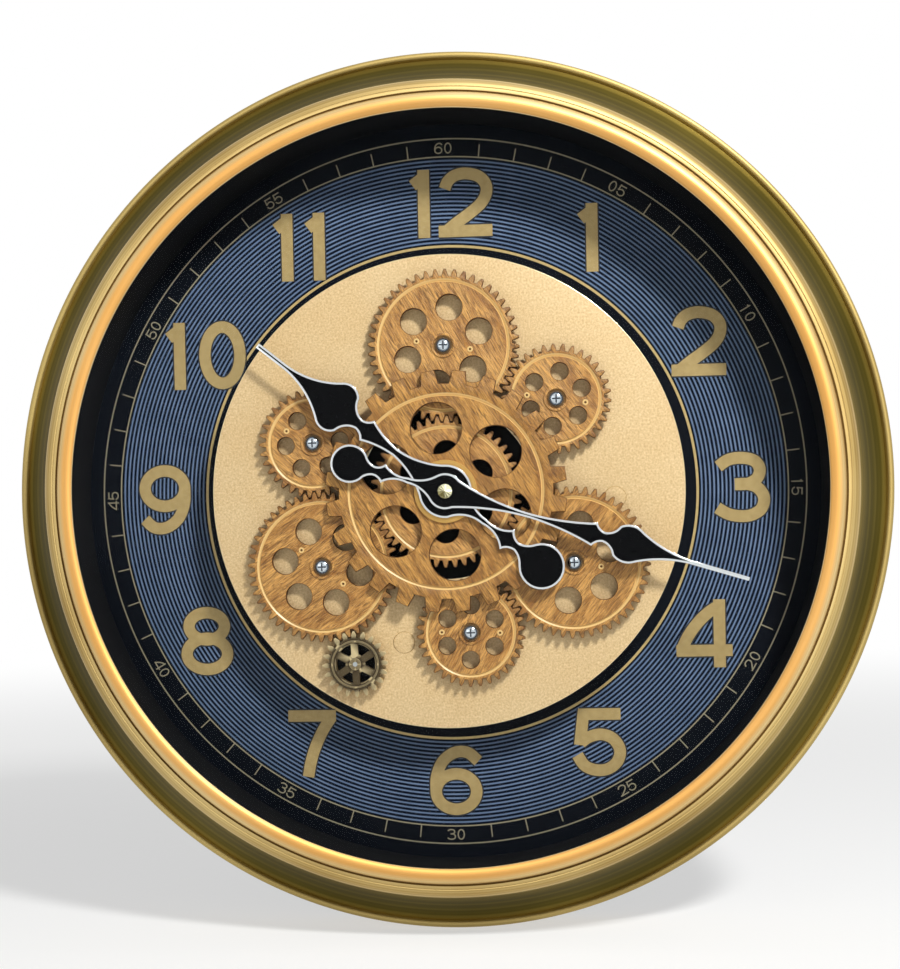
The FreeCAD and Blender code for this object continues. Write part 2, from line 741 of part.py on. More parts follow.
def fine_wheel(label, teeth, hole_reach, hole_radius, bore, pip_reach=None):
    """A wheel with six round holes and a ring groove, from its own rear face up."""
    solid, root_radius = toothed_disc(teeth)
    front = size.wheel_thickness.value
    over = size.seat_gap.value
    groove_outer = root_radius - size.rim_band.value + size.rim_groove.value
    groove_floor_level = front - size.rim_groove_depth.value
    groove = disc(groove_outer, groove_floor_level, front + over).cut(
        disc(groove_outer - size.rim_groove.value, groove_floor_level, front + over))
    cuts = [groove]
    cuts += [disc(hole_radius.value, -over, front + over, x, y)
             for x, y in around(hole_reach.value, WHEEL_HOLES)]
    rear = 0.0
    added = []
    if pip_reach is not None:
        rear = size.seat_gap.value - size.gear_gap.value
        boss_front = front + size.boss_rise.value
        recess_floor = front - size.boss_recess_depth.value
        added.append(disc(size.boss_radius.value, rear, boss_front))
        cuts.append(disc(size.boss_recess_radius.value, recess_floor, boss_front + over))
        half_hole = 180.0 / WHEEL_HOLES
        for x, y in around(pip_reach.value, 2, half_hole + 360.0 / WHEEL_HOLES):
            added.append(disc(size.pip_radius.value, front - over, front + size.pip_rise.value, x, y))
            cuts.append(disc(size.pip_bore_radius.value, front, front + size.pip_rise.value + over, x, y))
    cuts.append(disc(bore.value, rear - over, front + size.boss_rise.value + over))
    if added:
        solid = solid.multiFuse(added)
    solid = solid.cut(cuts)
    piece = doc.addObject("Part::Feature", label)
    piece.Label = label
    piece.Shape = solid.Solids[0]
    return piece


def meshed_turn(driver_turn, driver_teeth, direction, teeth, wanted_turn):
    """Turn of a wheel that meshes with its driver, nearest to the wanted one. All anticlockwise from x."""
    step = 360.0 / teeth
    driver_step = 360.0 / driver_teeth
    turn = direction + 180.0 + step * (0.5 - (driver_turn - direction) / driver_step)
    return turn + step * round((wanted_turn - turn) / step)


axle_bore = size.axle_radius + size.fit_gap
centre_turn = 90.0 - CENTRE_HOLE_ANGLE
wheel_bore = size.bush_radius + size.fit_gap
centre_wheel = fine_wheel("centre_wheel", WHEEL_TEETH, size.large_hole_reach, size.large_hole_radius,
                          wheel_bore)
place(centre_wheel, level=wheel_rear, turn=centre_turn)

large_turns = {}
for name, angle in LARGE_ANGLES.items():
    turn = meshed_turn(centre_turn, WHEEL_TEETH, 90.0 - angle, WHEEL_TEETH,
                       90.0 - LARGE_HOLE_ANGLES[name])
    large_turns[name] = turn
    wheel = fine_wheel(f"large_gear_{name}", WHEEL_TEETH, size.large_hole_reach, size.large_hole_radius,
                       axle_bore, size.large_pip_reach)
    place(wheel, *large_places[name], level=wheel_rear, turn=turn)

for name, driver in SMALL_ANGLE_OF.items():
    away_x = small_places[name][0] - large_places[driver][0]
    away_y = small_places[name][1] - large_places[driver][1]
    direction = math.degrees(math.atan2(away_y.value, away_x.value))
    turn = meshed_turn(large_turns[driver], WHEEL_TEETH, direction, SMALL_TEETH,
                       90.0 - SMALL_HOLE_ANGLES[name])
    wheel = fine_wheel(f"small_gear_{name}", SMALL_TEETH, size.small_hole_reach, size.small_hole_radius,
                       axle_bore, size.small_pip_reach)
    place(wheel, *small_places[name], level=wheel_rear, turn=turn)

# Drive pinion: raised rim ring, sunk web with six windows, and a hub on the motor's shaft


def drive_pinion():
    solid, root_radius = toothed_disc(PINION_TEETH)
    front = size.wheel_thickness.value
    over = size.seat_gap.value
    rim_front = front + size.pinion_rim_rise.value
    rim_radius = min(size.pinion_rim_radius.value, root_radius)
    rim_inner = rim_radius - size.pinion_rim_width.value
    web_front = front - size.pinion_web_drop.value
    solid = solid.fuse(disc(rim_radius, front - over, rim_front))
    solid = solid.cut(disc(rim_inner, web_front, rim_front + over))
    solid = solid.fuse(disc(size.pinion_hub_radius.value, web_front - over, rim_front))
    window = disc(size.pinion_window_outer.value, -over, front).cut(
        disc(size.pinion_window_inner.value, -over, front))
    spoke_width = size.pinion_window_inner.value * 0.75
    reach = size.pinion_window_outer.value + over
    for number in range(PINION_WINDOWS):
        spoke = Part.makeBox(reach, spoke_width, front + 2 * over,
                             FreeCAD.Vector(0, -spoke_width / 2, -over * 1.5))
        spoke.rotate(FreeCAD.Vector(0, 0, 0), FreeCAD.Vector(0, 0, 1), 360.0 * number / PINION_WINDOWS)
        window = window.cut(spoke)
    bore = disc(size.shaft_radius.value + size.fit_gap.value, -over, rim_front + over)
    solid = solid.cut([window, bore])
    piece = doc.addObject("Part::Feature", "drive_pinion")
    piece.Label = "drive_pinion"
    piece.Shape = solid.Solids[0]
    return piece


pinion_turn = meshed_turn(large_turns["left"], WHEEL_TEETH, 90.0 - PINION_DIRECTION, PINION_TEETH,
                          90.0 - PINION_WINDOW_ANGLE)
place(drive_pinion(), *pinion_place, level=wheel_rear, turn=pinion_turn)

# Motor shaft, gearbox and motor behind the plate

gearbox_rear = plate_rear - size.gearbox_height
shaft_rear = plate_rear - size.shaft_grip
shaft_bore = size.shaft_radius + size.fit_gap
place(stacked("motor_shaft", [pinion_place], [
    (size.shaft_radius, None, shaft_rear, wheel_front + size.pinion_rim_rise)]))
ear_rear = plate_rear - size.gearbox_ear_thickness
gearbox_round = (pinion_place[0], pinion_place[1], size.gearbox_radius)
shaft_floor = shaft_rear - size.seat_gap
gearbox = layered("drive_gearbox", [
    ([gearbox_round], gearbox_rear, shaft_floor),
    ([gearbox_round, (pinion_place[0], pinion_place[1], shaft_bore)], shaft_floor, plate_rear)])
ear_outline = rounded_rectangle(pinion_place[0], pinion_place[1],
                                size.gearbox_ear_reach + size.gearbox_ear_radius,
                                size.gearbox_ear_radius, size.gearbox_ear_radius * 0.9)
pad(gearbox, [ear_outline, (pinion_place[0], pinion_place[1], shaft_bore)]
    + [(x, y, small_hole) for x, y in gearbox_ears], ear_rear, plate_rear)
place(gearbox)
place(stacked("motor_screws", gearbox_ears, [
    (size.small_head_radius, None, ear_rear - size.small_head_thickness, ear_rear),
    (size.small_screw_radius, None, ear_rear, blind_top - size.seat_gap)]))
place(stacked("drive_motor", [pinion_place], [
    (size.motor_radius, None, dial_front + size.motor_gap, gearbox_rear)]))

# Central wheels: a bush with a bright collar carries the fine wheel and the coarse gear

bush_bore = size.tube_radius + size.fit_gap
clip_rear = wheel_rear - size.clip_thickness
bush_rear = clip_rear - size.seat_gap * 2
tube_front = coarse_front - size.coarse_thickness / 2
recess_floor = tube_front - size.seat_gap
place(turned("centre_bush", [
    (bush_bore, bush_rear),
    (size.bush_radius, bush_rear),
    (size.bush_radius, recess_floor - size.bush_collar_thickness),
    (size.bush_recess_radius + size.bush_collar_thickness, recess_floor - size.bush_collar_thickness),
    (size.bush_recess_radius + size.bush_collar_thickness, coarse_front),
    (size.bush_collar_radius, coarse_front),
    (size.bush_collar_radius, collar_front - size.bush_collar_thickness / 3),
    (size.bush_collar_radius - size.bush_collar_thickness / 3, collar_front),
    (size.bush_recess_radius, collar_front),
    (size.bush_recess_radius, recess_floor),
    (bush_bore, recess_floor),
]))
place(layered("bush_clip", [
    ([(ZERO, ZERO, size.bush_radius + size.clip_width), (ZERO, ZERO, wheel_bore)], clip_rear, wheel_rear)]))

coarse = body_named("centre_gear")
coarse_bore = wheel_bore
coarse_step_radius = size.bush_recess_radius + size.bush_collar_thickness + size.fit_gap
step_level = recess_floor - size.bush_collar_thickness - size.fit_gap
pad(coarse, [(ZERO, ZERO, size.coarse_hub_radius), (ZERO, ZERO, coarse_bore)], wheel_front, coarse_rear)
pad(coarse, [(ZERO, ZERO, size.coarse_root_radius), (ZERO, ZERO, coarse_bore)], coarse_rear, step_level)
pad(coarse, [(ZERO, ZERO, size.coarse_root_radius), (ZERO, ZERO, coarse_step_radius)],
    step_level, coarse_front)
root_inside = size.coarse_root_radius - size.coarse_thickness / 2
tooth, tooth_sketch = pad(coarse, [[
    (root_inside, -size.coarse_root_width / 2),
    (size.coarse_tip_radius, -size.coarse_tip_width / 2),
    (size.coarse_tip_radius, size.coarse_tip_width / 2),
    (root_inside, size.coarse_root_width / 2),
]], coarse_rear, coarse_front)
repeat(coarse, tooth, tooth_sketch, COARSE_TEETH)
window, window_sketch = pocket(coarse, [(size.coarse_hole_reach, ZERO, size.coarse_hole_radius)],
                               coarse_front, size.coarse_thickness)
repeat(coarse, window, window_sketch, WHEEL_HOLES)
pocket(coarse, [(ZERO, ZERO, size.coarse_groove_radius + size.rim_groove),
                (ZERO, ZERO, size.coarse_groove_radius)], coarse_front, size.rim_groove_depth)
place(coarse, turn=90.0 - COARSE_HOLE_ANGLE)

# Movement carrier: black cup behind the plate's opening, with the tube that the bush turns on

carrier_rear = plate_rear - size.carrier_depth
carrier_floor_front = carrier_rear + size.carrier_floor
stem_hole = size.stem_radius + size.fit_gap
shoulder_front = bush_rear - size.seat_gap
carrier = turned("movement_carrier", [
    (stem_hole, carrier_rear),
    (carrier_radius, carrier_rear),
    (carrier_radius, plate_rear - size.carrier_flange_thickness),
    (carrier_radius + size.carrier_flange, plate_rear - size.carrier_flange_thickness),
    (carrier_radius + size.carrier_flange, plate_rear),
    (carrier_radius - size.carrier_wall, plate_rear),
    (carrier_radius - size.carrier_wall, carrier_floor_front),
    (size.bush_radius, carrier_floor_front),
    (size.bush_radius, shoulder_front),
    (size.tube_radius, shoulder_front),
    (size.tube_radius, tube_front),
    (stem_hole, tube_front),
])
pocket(carrier, [(x, y, small_hole) for x, y in carrier_screw_places], plate_rear,
       size.carrier_flange_thickness)
place(carrier)
place(stacked("carrier_screws", carrier_screw_places, [
    (size.small_head_radius, None, plate_rear - size.carrier_flange_thickness - size.small_head_thickness,
     plate_rear - size.carrier_flange_thickness),
    (size.small_screw_radius, None, plate_rear - size.carrier_flange_thickness, blind_top - size.seat_gap)]))

# Movement: moulded case with a cell bay open to the back, threaded stem, washer and nut

movement_rear = carrier_rear - size.movement_thickness
half_movement = size.movement_width / 2
bay_floor = carrier_rear - size.movement_skin
bay_y = -half_movement + size.bay_rim + size.bay_width / 2
stem_front = tube_front + size.stem_washer_thickness + size.stem_nut_thickness + size.stem_stand
output_rear = carrier_rear - size.output_depth
knob_place = (size.knob_offset, size.knob_offset)
knob_hole = size.knob_shaft_radius + size.fit_gap
case = layered("movement_case", [
    ([rounded_rectangle(ZERO, ZERO, half_movement, half_movement, size.movement_corner)],
     movement_rear, carrier_rear)])
pocket(case, [rounded_rectangle(ZERO, bay_y, size.bay_length / 2, size.bay_width / 2, size.bay_rim)],
       bay_floor, bay_floor - movement_rear)
pocket(case, [(ZERO, ZERO, stem_hole)], carrier_rear, size.output_depth + size.seat_gap)
pocket(case, [(*knob_place, knob_hole)], movement_rear + size.output_depth, size.output_depth)
place(case)
place(layered("movement_stem", [
    ([(ZERO, ZERO, size.stem_radius), (ZERO, ZERO, size.stem_bore_radius)], output_rear, stem_front)]))
washer_level = tube_front + size.stem_washer_thickness
place(layered("stem_washer", [
    ([(ZERO, ZERO, size.stem_washer_radius), (ZERO, ZERO, stem_hole)], tube_front, washer_level)]))
place(layered("stem_nut", [
    ([[(size.stem_nut_radius * math.cos(math.radians(60.0 * number)),
        size.stem_nut_radius * math.sin(math.radians(60.0 * number))) for number in range(6)],
      (ZERO, ZERO, stem_hole)], washer_level, washer_level + size.stem_nut_thickness)]))

# Outputs of the movement: the hour pipe runs in the stem and the minute arbor in the pipe

place(layered("hour_pipe", [
    ([(ZERO, ZERO, size.pipe_radius), (ZERO, ZERO, size.pipe_bore_radius)], output_rear, hour_front)]))
place(layered("minute_arbor", [
    ([(ZERO, ZERO, size.arbor_radius)], output_rear, minute_front + size.nut_thickness / 2)]))
place(stacked("set_knob", [knob_place], [
    (size.knob_radius, None, movement_rear - size.seat_gap - size.knob_thickness,
     movement_rear - size.seat_gap),
    (size.knob_shaft_radius, None, movement_rear - size.seat_gap,
     movement_rear + size.output_depth - size.seat_gap)]))

# Spade hands, each one flat plate, and the nut on the arbor


def hand_outline(shares, reach, half_width):
    """Corners of a hand along x: down one edge from tip to tail and back along the mirrored edge."""
    corners = []
    for share in shares:
        corner = [reach * share[0], half_width * share[1] if share[1] else ZERO]
        if len(share) == 4:
            corner += [reach * share[2], half_width * share[3]]
        corners.append(tuple(corner))
    mirrored = []
    for number in range(len(shares) - 1, 0, -1):
        near = shares[number - 1]
        corner = [reach * near[0], half_width * -near[1]]
        if len(shares[number]) == 4:
            corner += [reach * shares[number][2], half_width * -shares[number][3]]
        mirrored.append(tuple(corner))
    return corners + mirrored


minute_angle = 6.0 * REST_MINUTES
hour_angle = 30.0 * REST_HOUR + REST_MINUTES / 2
hour_hand = layered("hour_hand", [
    ([hand_outline(HOUR_OUTLINE_SHARES, size.hour_reach, size.hour_blade_half),
      (ZERO, ZERO, size.pipe_radius + size.fit_gap)], ZERO, size.hand_thickness)])
place(hour_hand, level=hour_rear, turn=90.0 - hour_angle)
minute_hand = layered("minute_hand", [
    ([hand_outline(MINUTE_OUTLINE_SHARES, size.minute_reach, size.minute_blade_half),
      (ZERO, ZERO, size.arbor_radius + size.fit_gap)], ZERO, size.hand_thickness)])
place(minute_hand, level=minute_rear, turn=90.0 - minute_angle)
nut_bore_front = minute_front + size.nut_thickness / 2 + size.fit_gap
place(turned("hand_nut", [
    (size.arbor_radius + size.fit_gap, minute_front),
    (size.nut_radius, minute_front),
    (size.nut_radius, minute_front + size.nut_thickness * 0.4),
    (size.nut_top_radius, nut_front),
    (ZERO, nut_front),
    (ZERO, nut_bore_front),
    (size.arbor_radius + size.fit_gap, nut_bore_front),
]))

# Round cells: one in the movement, two in the tray, each lying along x


def cell_outline():
    end = size.cell_length / 2
    return [
        (ZERO, -end),
        (size.cell_radius, -end),
        (size.cell_radius, end - size.cell_nub_length),
        (size.cell_nub_radius, end - size.cell_nub_length),
        (size.cell_nub_radius, end),
        (ZERO, end),
    ]


def lay_along_x(piece):
    """Turn a piece so that its own z runs along the clock's x and its own y towards twelve."""
    piece.Placement = FreeCAD.Placement(
        piece.Placement.Base, FreeCAD.Rotation(FreeCAD.Vector(1, 1, 1), 120))


movement_cell = turned("movement_cell", cell_outline())
place(movement_cell, ZERO, bay_y, bay_floor - size.cell_radius - size.seat_gap)
lay_along_x(movement_cell)

tray_half_length = size.bay_length / 2 + size.tray_wall
tray_half_width = size.bay_width + size.tray_wall * 1.5
tray_floor = size.tray_depth - size.tray_wall
tray_y = -size.tray_drop
tray = layered("battery_tray", [
    ([rounded_rectangle(ZERO, tray_y, tray_half_length + size.tray_lip, tray_half_width + size.tray_lip,
                        size.tray_corner)], ZERO, back_rear),
    ([rounded_rectangle(ZERO, tray_y, tray_half_length, tray_half_width, size.tray_corner)],
     back_rear, size.tray_depth)])
for side in (-1, 1):
    bay_centre = tray_y + (size.bay_width + size.tray_wall) * (side / 2)
    bay = rounded_rectangle(ZERO, bay_centre, size.bay_length / 2, size.bay_width / 2, size.bay_rim)
    pocket(tray, [bay], tray_floor, tray_floor)
tray_screw_reach = tray_half_length + size.tray_lip / 2
tray_screw_places = [(tray_screw_reach, tray_y), (-tray_screw_reach, tray_y)]
sunk_head = back_rear / 2
sunk_head_seat = size.small_head_radius + size.fit_gap
pocket(tray, [(x, y, small_hole) for x, y in tray_screw_places], back_rear, back_rear)
pocket(tray, [(x, y, sunk_head_seat) for x, y in tray_screw_places], sunk_head, sunk_head)
place(tray)

drive_cells = body_named("drive_cells")
pair_gap = size.bay_width + size.tray_wall
for side in (-1, 1):
    sketch = sketch_on(drive_cells, "XZ_Plane", pair_gap * (side / 2))
    draw_outline(sketch, cell_outline())
    cell = drive_cells.newObject("PartDesign::Revolution", "drive_cells_revolution")
    cell.Profile = sketch
    cell.ReferenceAxis = (sketch, ["V_Axis"])
    cell.Angle = 360
place(drive_cells, ZERO, tray_y, tray_floor - size.cell_radius - size.seat_gap)
lay_along_x(drive_cells)

# Back board with windows for the movement and the tray, and the fasteners that close the case

frame_screw_reach = side_radius - size.frame_screw_inset
frame_screw_places = ring_of(frame_screw_reach, FRAME_SCREWS, 22.5)
spacer_places = ring_of(dial_radius - size.spacer_inset, SPACERS, 30.0)
hanger_y = hang_drop
hanger_screw_places = [(size.hanger_screw_reach, hanger_y), (-size.hanger_screw_reach, hanger_y)]
head_seat = size.flat_head_radius + size.fit_gap
board = layered("back_board", [
    ([(ZERO, ZERO, clock_radius - size.back_inset),
      rounded_rectangle(ZERO, ZERO, size.window_half, size.window_half, size.window_corner),
      rounded_rectangle(ZERO, tray_y, tray_half_length + size.fit_gap, tray_half_width + size.fit_gap,
                        size.tray_corner),
      rounded_rectangle(ZERO, hanger_y + size.keyhole_slot_rise / 2, size.keyhole_pocket_half,
                        size.keyhole_pocket_half + size.keyhole_slot_rise / 2, size.window_corner)]
     + [(x, y, shank_hole) for x, y in frame_screw_places + spacer_places]
     + [(x, y, small_hole) for x, y in hanger_screw_places + tray_screw_places], back_rear, back_front)])
pocket(board, [(x, y, head_seat) for x, y in frame_screw_places + spacer_places],
       back_rear + size.flat_head_thickness, size.flat_head_thickness)
place(board)
pocket(frame, [(x, y, shank_hole) for x, y in frame_screw_places], back_front + wall, wall)
place(stacked("frame_screws", frame_screw_places, [
    (size.flat_head_radius, None, back_rear, back_rear + size.flat_head_thickness),
    (size.shank_radius, None, back_rear + size.flat_head_thickness, back_rear + size.frame_screw_length)]))
spacer_tap = back_rear + size.shank_length + size.seat_gap
place(stacked("dial_spacers", spacer_places, [
    (size.spacer_radius, shank_hole, back_front, spacer_tap),
    (size.spacer_radius, None, spacer_tap, dial_rear)]))
place(stacked("spacer_screws", spacer_places, [
    (size.flat_head_radius, None, back_rear, back_rear + size.flat_head_thickness),
    (size.shank_radius, None, back_rear + size.flat_head_thickness, back_rear + size.shank_length)]))
place(stacked("tray_screws", tray_screw_places, [
    (size.small_head_radius, None, ZERO, sunk_head),
    (size.small_screw_radius, None, sunk_head, back_front)]))

# Keyhole hanger on the back, and two pads that keep the clock parallel to the wall

slot = size.keyhole_slot_radius
entry = size.keyhole_radius
neck = Size(math.sqrt(entry.value ** 2 - slot.value ** 2), f"sqrt({entry.text}^2 - {slot.text}^2)")
slot_top = hanger_y + size.keyhole_slot_rise
keyhole = [
    (slot, slot_top),
    (-slot, slot_top, ZERO, slot_top + slot),
    (-slot, hanger_y + neck),
    (slot, hanger_y + neck, ZERO, hanger_y - entry),
]
hanger_centre = hanger_y + size.keyhole_slot_rise / 4
hanger = layered("hanger_plate", [
    ([rounded_rectangle(ZERO, hanger_centre, size.hanger_length / 2, size.hanger_width / 2,
                        size.hanger_corner), keyhole]
     + [(x, y, small_hole) for x, y in hanger_screw_places], ZERO, size.hanger_sheet)])
pocket(hanger, [(x, y, sunk_head_seat) for x, y in hanger_screw_places], sunk_head, sunk_head)
place(hanger)
place(stacked("hanger_screws", hanger_screw_places, [
    (size.small_head_radius, None, ZERO, sunk_head),
    (size.small_screw_radius, None, sunk_head, back_front)]))
pad_places = [on_circle(clock_radius - size.pad_inset, angle) for angle in PAD_ANGLES]
place(stacked("wall_pads", pad_places, [(size.pad_radius, None, ZERO, back_rear)]))

# Recompute, check and write

doc.recompute()
for piece in doc.Objects:
    if "Invalid" in piece.State or "Error" in piece.State:
        raise RuntimeError(f"{piece.Label} did not recompute: {piece.State}")
os.makedirs("parts", exist_ok=True)
for piece in sub_parts:
    shape = piece.Shape
    if shape.isNull() or not shape.isValid() or not shape.Solids:
        raise RuntimeError(f"{piece.Label} has no valid shape")
    shape.exportStep(f"parts/{piece.Label}.step")
    print(piece.Label, len(shape.Solids), "solids", round(shape.Volume), "mm3")
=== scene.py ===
"""Round wall clock with moving gears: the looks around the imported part. Metres; sizes are named in mm."""
import math

import bmesh
import bpy
from mathutils import Euler, Matrix, Vector
from mathutils.geometry import delaunay_2d_cdt


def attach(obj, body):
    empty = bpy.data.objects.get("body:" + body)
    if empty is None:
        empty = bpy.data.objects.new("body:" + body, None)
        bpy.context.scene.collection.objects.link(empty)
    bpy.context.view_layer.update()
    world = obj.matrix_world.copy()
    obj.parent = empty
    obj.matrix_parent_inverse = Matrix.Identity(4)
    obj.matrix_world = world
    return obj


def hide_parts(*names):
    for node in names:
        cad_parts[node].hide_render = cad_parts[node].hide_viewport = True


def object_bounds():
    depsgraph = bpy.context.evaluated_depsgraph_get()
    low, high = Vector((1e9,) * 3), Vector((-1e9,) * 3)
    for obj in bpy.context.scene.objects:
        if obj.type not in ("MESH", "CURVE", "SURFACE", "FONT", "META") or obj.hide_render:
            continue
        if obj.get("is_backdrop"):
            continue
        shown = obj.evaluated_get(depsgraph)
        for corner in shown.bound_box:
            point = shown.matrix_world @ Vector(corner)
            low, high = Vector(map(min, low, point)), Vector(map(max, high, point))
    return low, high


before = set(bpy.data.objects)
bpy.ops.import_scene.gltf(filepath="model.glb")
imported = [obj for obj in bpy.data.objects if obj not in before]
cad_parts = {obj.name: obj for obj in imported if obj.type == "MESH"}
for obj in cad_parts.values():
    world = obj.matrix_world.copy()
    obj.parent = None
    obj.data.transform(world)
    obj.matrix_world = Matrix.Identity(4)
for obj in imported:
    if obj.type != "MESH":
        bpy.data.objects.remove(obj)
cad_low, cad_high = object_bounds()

# Spun frame. The real one is a single ring of aluminium sheet, spun over a former and anodised gold: a crowned
# inner band, a groove whose dark is painted shade, a bead, a concave cove and a rolled edge that turns back to
# the side wall. It is screwed to the back board from behind.

HANG_DROP = 232.0  # the dial's centre hangs this far below the top of the keyhole slot
FRAME_SEGMENTS = 360


def face_point(x, y, level):
    """Millimetres across and up from the dial's centre, and above the wall, to a point of the scene."""
    return Vector((x, -level, y - HANG_DROP)) / 1000


def softened(corners, steps=5):
    """A path whose corners (across, up, radius) are rounded, as points (across, up). A rounding takes less than
    half of a side, so that two of them never meet."""
    path = []
    most = 0.49
    for number, (x, y, radius) in enumerate(corners):
        if radius == 0 or number in (0, len(corners) - 1):
            path.append((x, y))
            continue
        here = Vector((x, y))
        before = Vector(corners[number - 1][:2]) - here
        after = Vector(corners[number + 1][:2]) - here
        reach = min(radius, before.length * most, after.length * most)
        start, end = here + before.normalized() * reach, here + after.normalized() * reach
        for step in range(steps + 1):
            share = step / steps
            point = start * (1 - share) ** 2 + here * 2 * share * (1 - share) + end * share ** 2
            path.append((point.x, point.y))
    return path


def bowed(start, via, end, steps=14):
    """Points of the arc from start to end through via, with its ends."""
    (ax, ay), (bx, by), (cx, cy) = start, via, end
    double = 2 * (ax * (by - cy) + bx * (cy - ay) + cx * (ay - by))
    a, b, c = ax ** 2 + ay ** 2, bx ** 2 + by ** 2, cx ** 2 + cy ** 2
    ux = (a * (by - cy) + b * (cy - ay) + c * (ay - by)) / double
    uy = (a * (cx - bx) + b * (ax - cx) + c * (bx - ax)) / double
    radius = math.hypot(ax - ux, ay - uy)
    first, middle, last = (math.atan2(y - uy, x - ux) for x, y in (start, via, end))
    sweep = (last - first) % math.tau
    if (middle - first) % math.tau > sweep:
        sweep -= math.tau
    return [(ux + radius * math.cos(first + sweep * step / steps),
             uy + radius * math.sin(first + sweep * step / steps)) for step in range(steps + 1)]


def loft(shape, loops, slot=0):
    """Quads between neighbouring loops of points, each loop closed on itself."""
    rows = [[shape.verts.new(point) for point in loop] for loop in loops]
    for low, high in zip(rows, rows[1:]):
        for near in range(len(low)):
            far = (near + 1) % len(low)
            face = shape.faces.new((low[near], low[far], high[far], high[near]))
            face.material_index = slot


def spin(shape, path, segments, x=0.0, y=0.0, slot=0):
    """Turns a path of (radius, level) about the axis at x, y."""
    angles = [math.tau * number / segments for number in range(segments)]
    loft(shape, [[face_point(x + radius * math.cos(angle), y + radius * math.sin(angle), level)
                  for angle in angles] for radius, level in path], slot)


def make_piece(shape, name, materials, body, nodes=(), crease=32.0):
    """Closes a mesh into a named piece that rides on its body and stands for the CAD nodes given."""
    same_point = 2e-6
    bmesh.ops.remove_doubles(shape, verts=shape.verts, dist=same_point)
    bmesh.ops.recalc_face_normals(shape, faces=shape.faces)
    mesh = bpy.data.meshes.new(name)
    shape.to_mesh(mesh)
    shape.free()
    mesh.shade_smooth()
    mesh.set_sharp_from_angle(angle=math.radians(crease))
    for material in materials:
        mesh.materials.append(material)
    piece = bpy.data.objects.new(name, mesh)
    bpy.context.collection.objects.link(piece)
    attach(piece, body)
    if nodes:
        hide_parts(*nodes)
    return piece


def colour(text):
    """An sRGB hex colour as linear red, green, blue and full alpha."""
    parts = [int(text[start:start + 2], 16) / 255 for start in (1, 3, 5)]
    return (*[part / 12.92 if part <= 0.04045 else ((part + 0.055) / 1.055) ** 2.4 for part in parts], 1.0)


def add_node(tree, kind, inputs=None, **settings):
    """Adds a shader node with its settings, and its inputs as values or as links from other sockets.

    A colour Mix takes its share at 0 and its two colours at 6 and 7, a MapRange its range at 1 and 2 and its
    result at 3 and 4.
    """
    node = tree.nodes.new("ShaderNode" + kind)
    for name, value in settings.items():
        setattr(node, name, value)
    for socket, value in (inputs or {}).items():
        if isinstance(value, bpy.types.NodeSocket):
            tree.links.new(value, node.inputs[socket])
        else:
            node.inputs[socket].default_value = value
    return node


def new_material(name, **sockets):
    """A material with one Principled shader whose sockets are set; gives it, its nodes and the shader."""
    material = bpy.data.materials.new(name)
    material.use_nodes = True
    tree = material.node_tree
    shader = tree.nodes["Principled BSDF"]
    for socket, value in sockets.items():
        shader.inputs[socket.replace("_", " ")].default_value = value
    return material, tree, shader


def reach_of(tree, place, x=0.0, y=0.0):
    """Socket with a place's distance, in metres, from the axis at x, y: the dial's, where none is given."""
    offset = add_node(tree, "VectorMath", {0: place, 1: face_point(x, y, 0.0)}, operation="SUBTRACT").outputs[0]
    flat = add_node(tree, "VectorMath", {0: offset, 1: (1, 0, 1)}, operation="MULTIPLY").outputs[0]
    return add_node(tree, "VectorMath", {0: flat}, operation="LENGTH").outputs["Value"]


def spun_metal(name, light, dark, line_mm, roughness, streak=0.5, painted_deep_tone=None, metallic=1.0):
    """Metal with fine rings left by the spinning tool, line_mm apart, and a slow change of tone around it. An
    optional deeper tone, a painted reflection, comes with the four radii between which it comes in and goes out."""
    material, tree, shader = new_material(name, Metallic=metallic, Roughness=roughness, Anisotropic=0.3)
    place = add_node(tree, "TexCoord").outputs["Object"]
    radius = reach_of(tree, place)
    level = add_node(tree, "SeparateXYZ", {0: place}).outputs["Y"]
    across = add_node(tree, "CombineXYZ", {"X": radius, "Y": level}).outputs[0]
    lines = add_node(tree, "TexNoise", {"Vector": across, "Scale": 1000 / line_mm, "Detail": 3.0})
    slow = add_node(tree, "TexNoise", {"Vector": place, "Scale": 1000 / 120.0, "Detail": 2.0})
    amount = add_node(tree, "Mix", {0: streak, 2: slow.outputs[0], 3: lines.outputs[0]}).outputs[0]
    spread = add_node(tree, "MapRange", {0: amount, 1: 0.36, 2: 0.64}).outputs[0]
    tone = add_node(tree, "Mix", {0: spread, 6: colour(dark), 7: colour(light)}, data_type="RGBA").outputs[2]
    # Painted reflection: a deeper tone blended in between four radii
    if painted_deep_tone:
        deep, *radii = painted_deep_tone
        rise, full, fall, gone = (value / 1000 for value in radii)
        comes, goes = (
            add_node(tree, "MapRange", {0: radius, 1: none, 2: all_in},
                     interpolation_type="SMOOTHSTEP").outputs[0]
            for none, all_in in ((rise, full), (gone, fall)))
        depth = add_node(tree, "Math", {0: comes, 1: goes}, operation="MULTIPLY").outputs[0]
        streaked = add_node(tree, "MapRange", {0: spread, 3: 1.0, 4: 0.8}).outputs[0]
        depth = add_node(tree, "Math", {0: depth, 1: streaked}, operation="MULTIPLY").outputs[0]
        tone = add_node(tree, "Mix", {0: depth, 6: tone, 7: colour(deep)}, data_type="RGBA").outputs[2]
    tree.links.new(tone, shader.inputs["Base Color"])
    rough = add_node(tree, "MapRange", {0: lines.outputs[0], 3: roughness - 0.05, 4: roughness + 0.08})
    tree.links.new(rough.outputs[0], shader.inputs["Roughness"])
    bump = add_node(tree, "Bump", {"Strength": 0.25, "Distance": 0.00003, "Height": lines.outputs[0]})
    tree.links.new(bump.outputs[0], shader.inputs["Normal"])
    around = add_node(tree, "Tangent", direction_type="RADIAL", axis="Y")
    tree.links.new(around.outputs[0], shader.inputs["Tangent"])
    return material
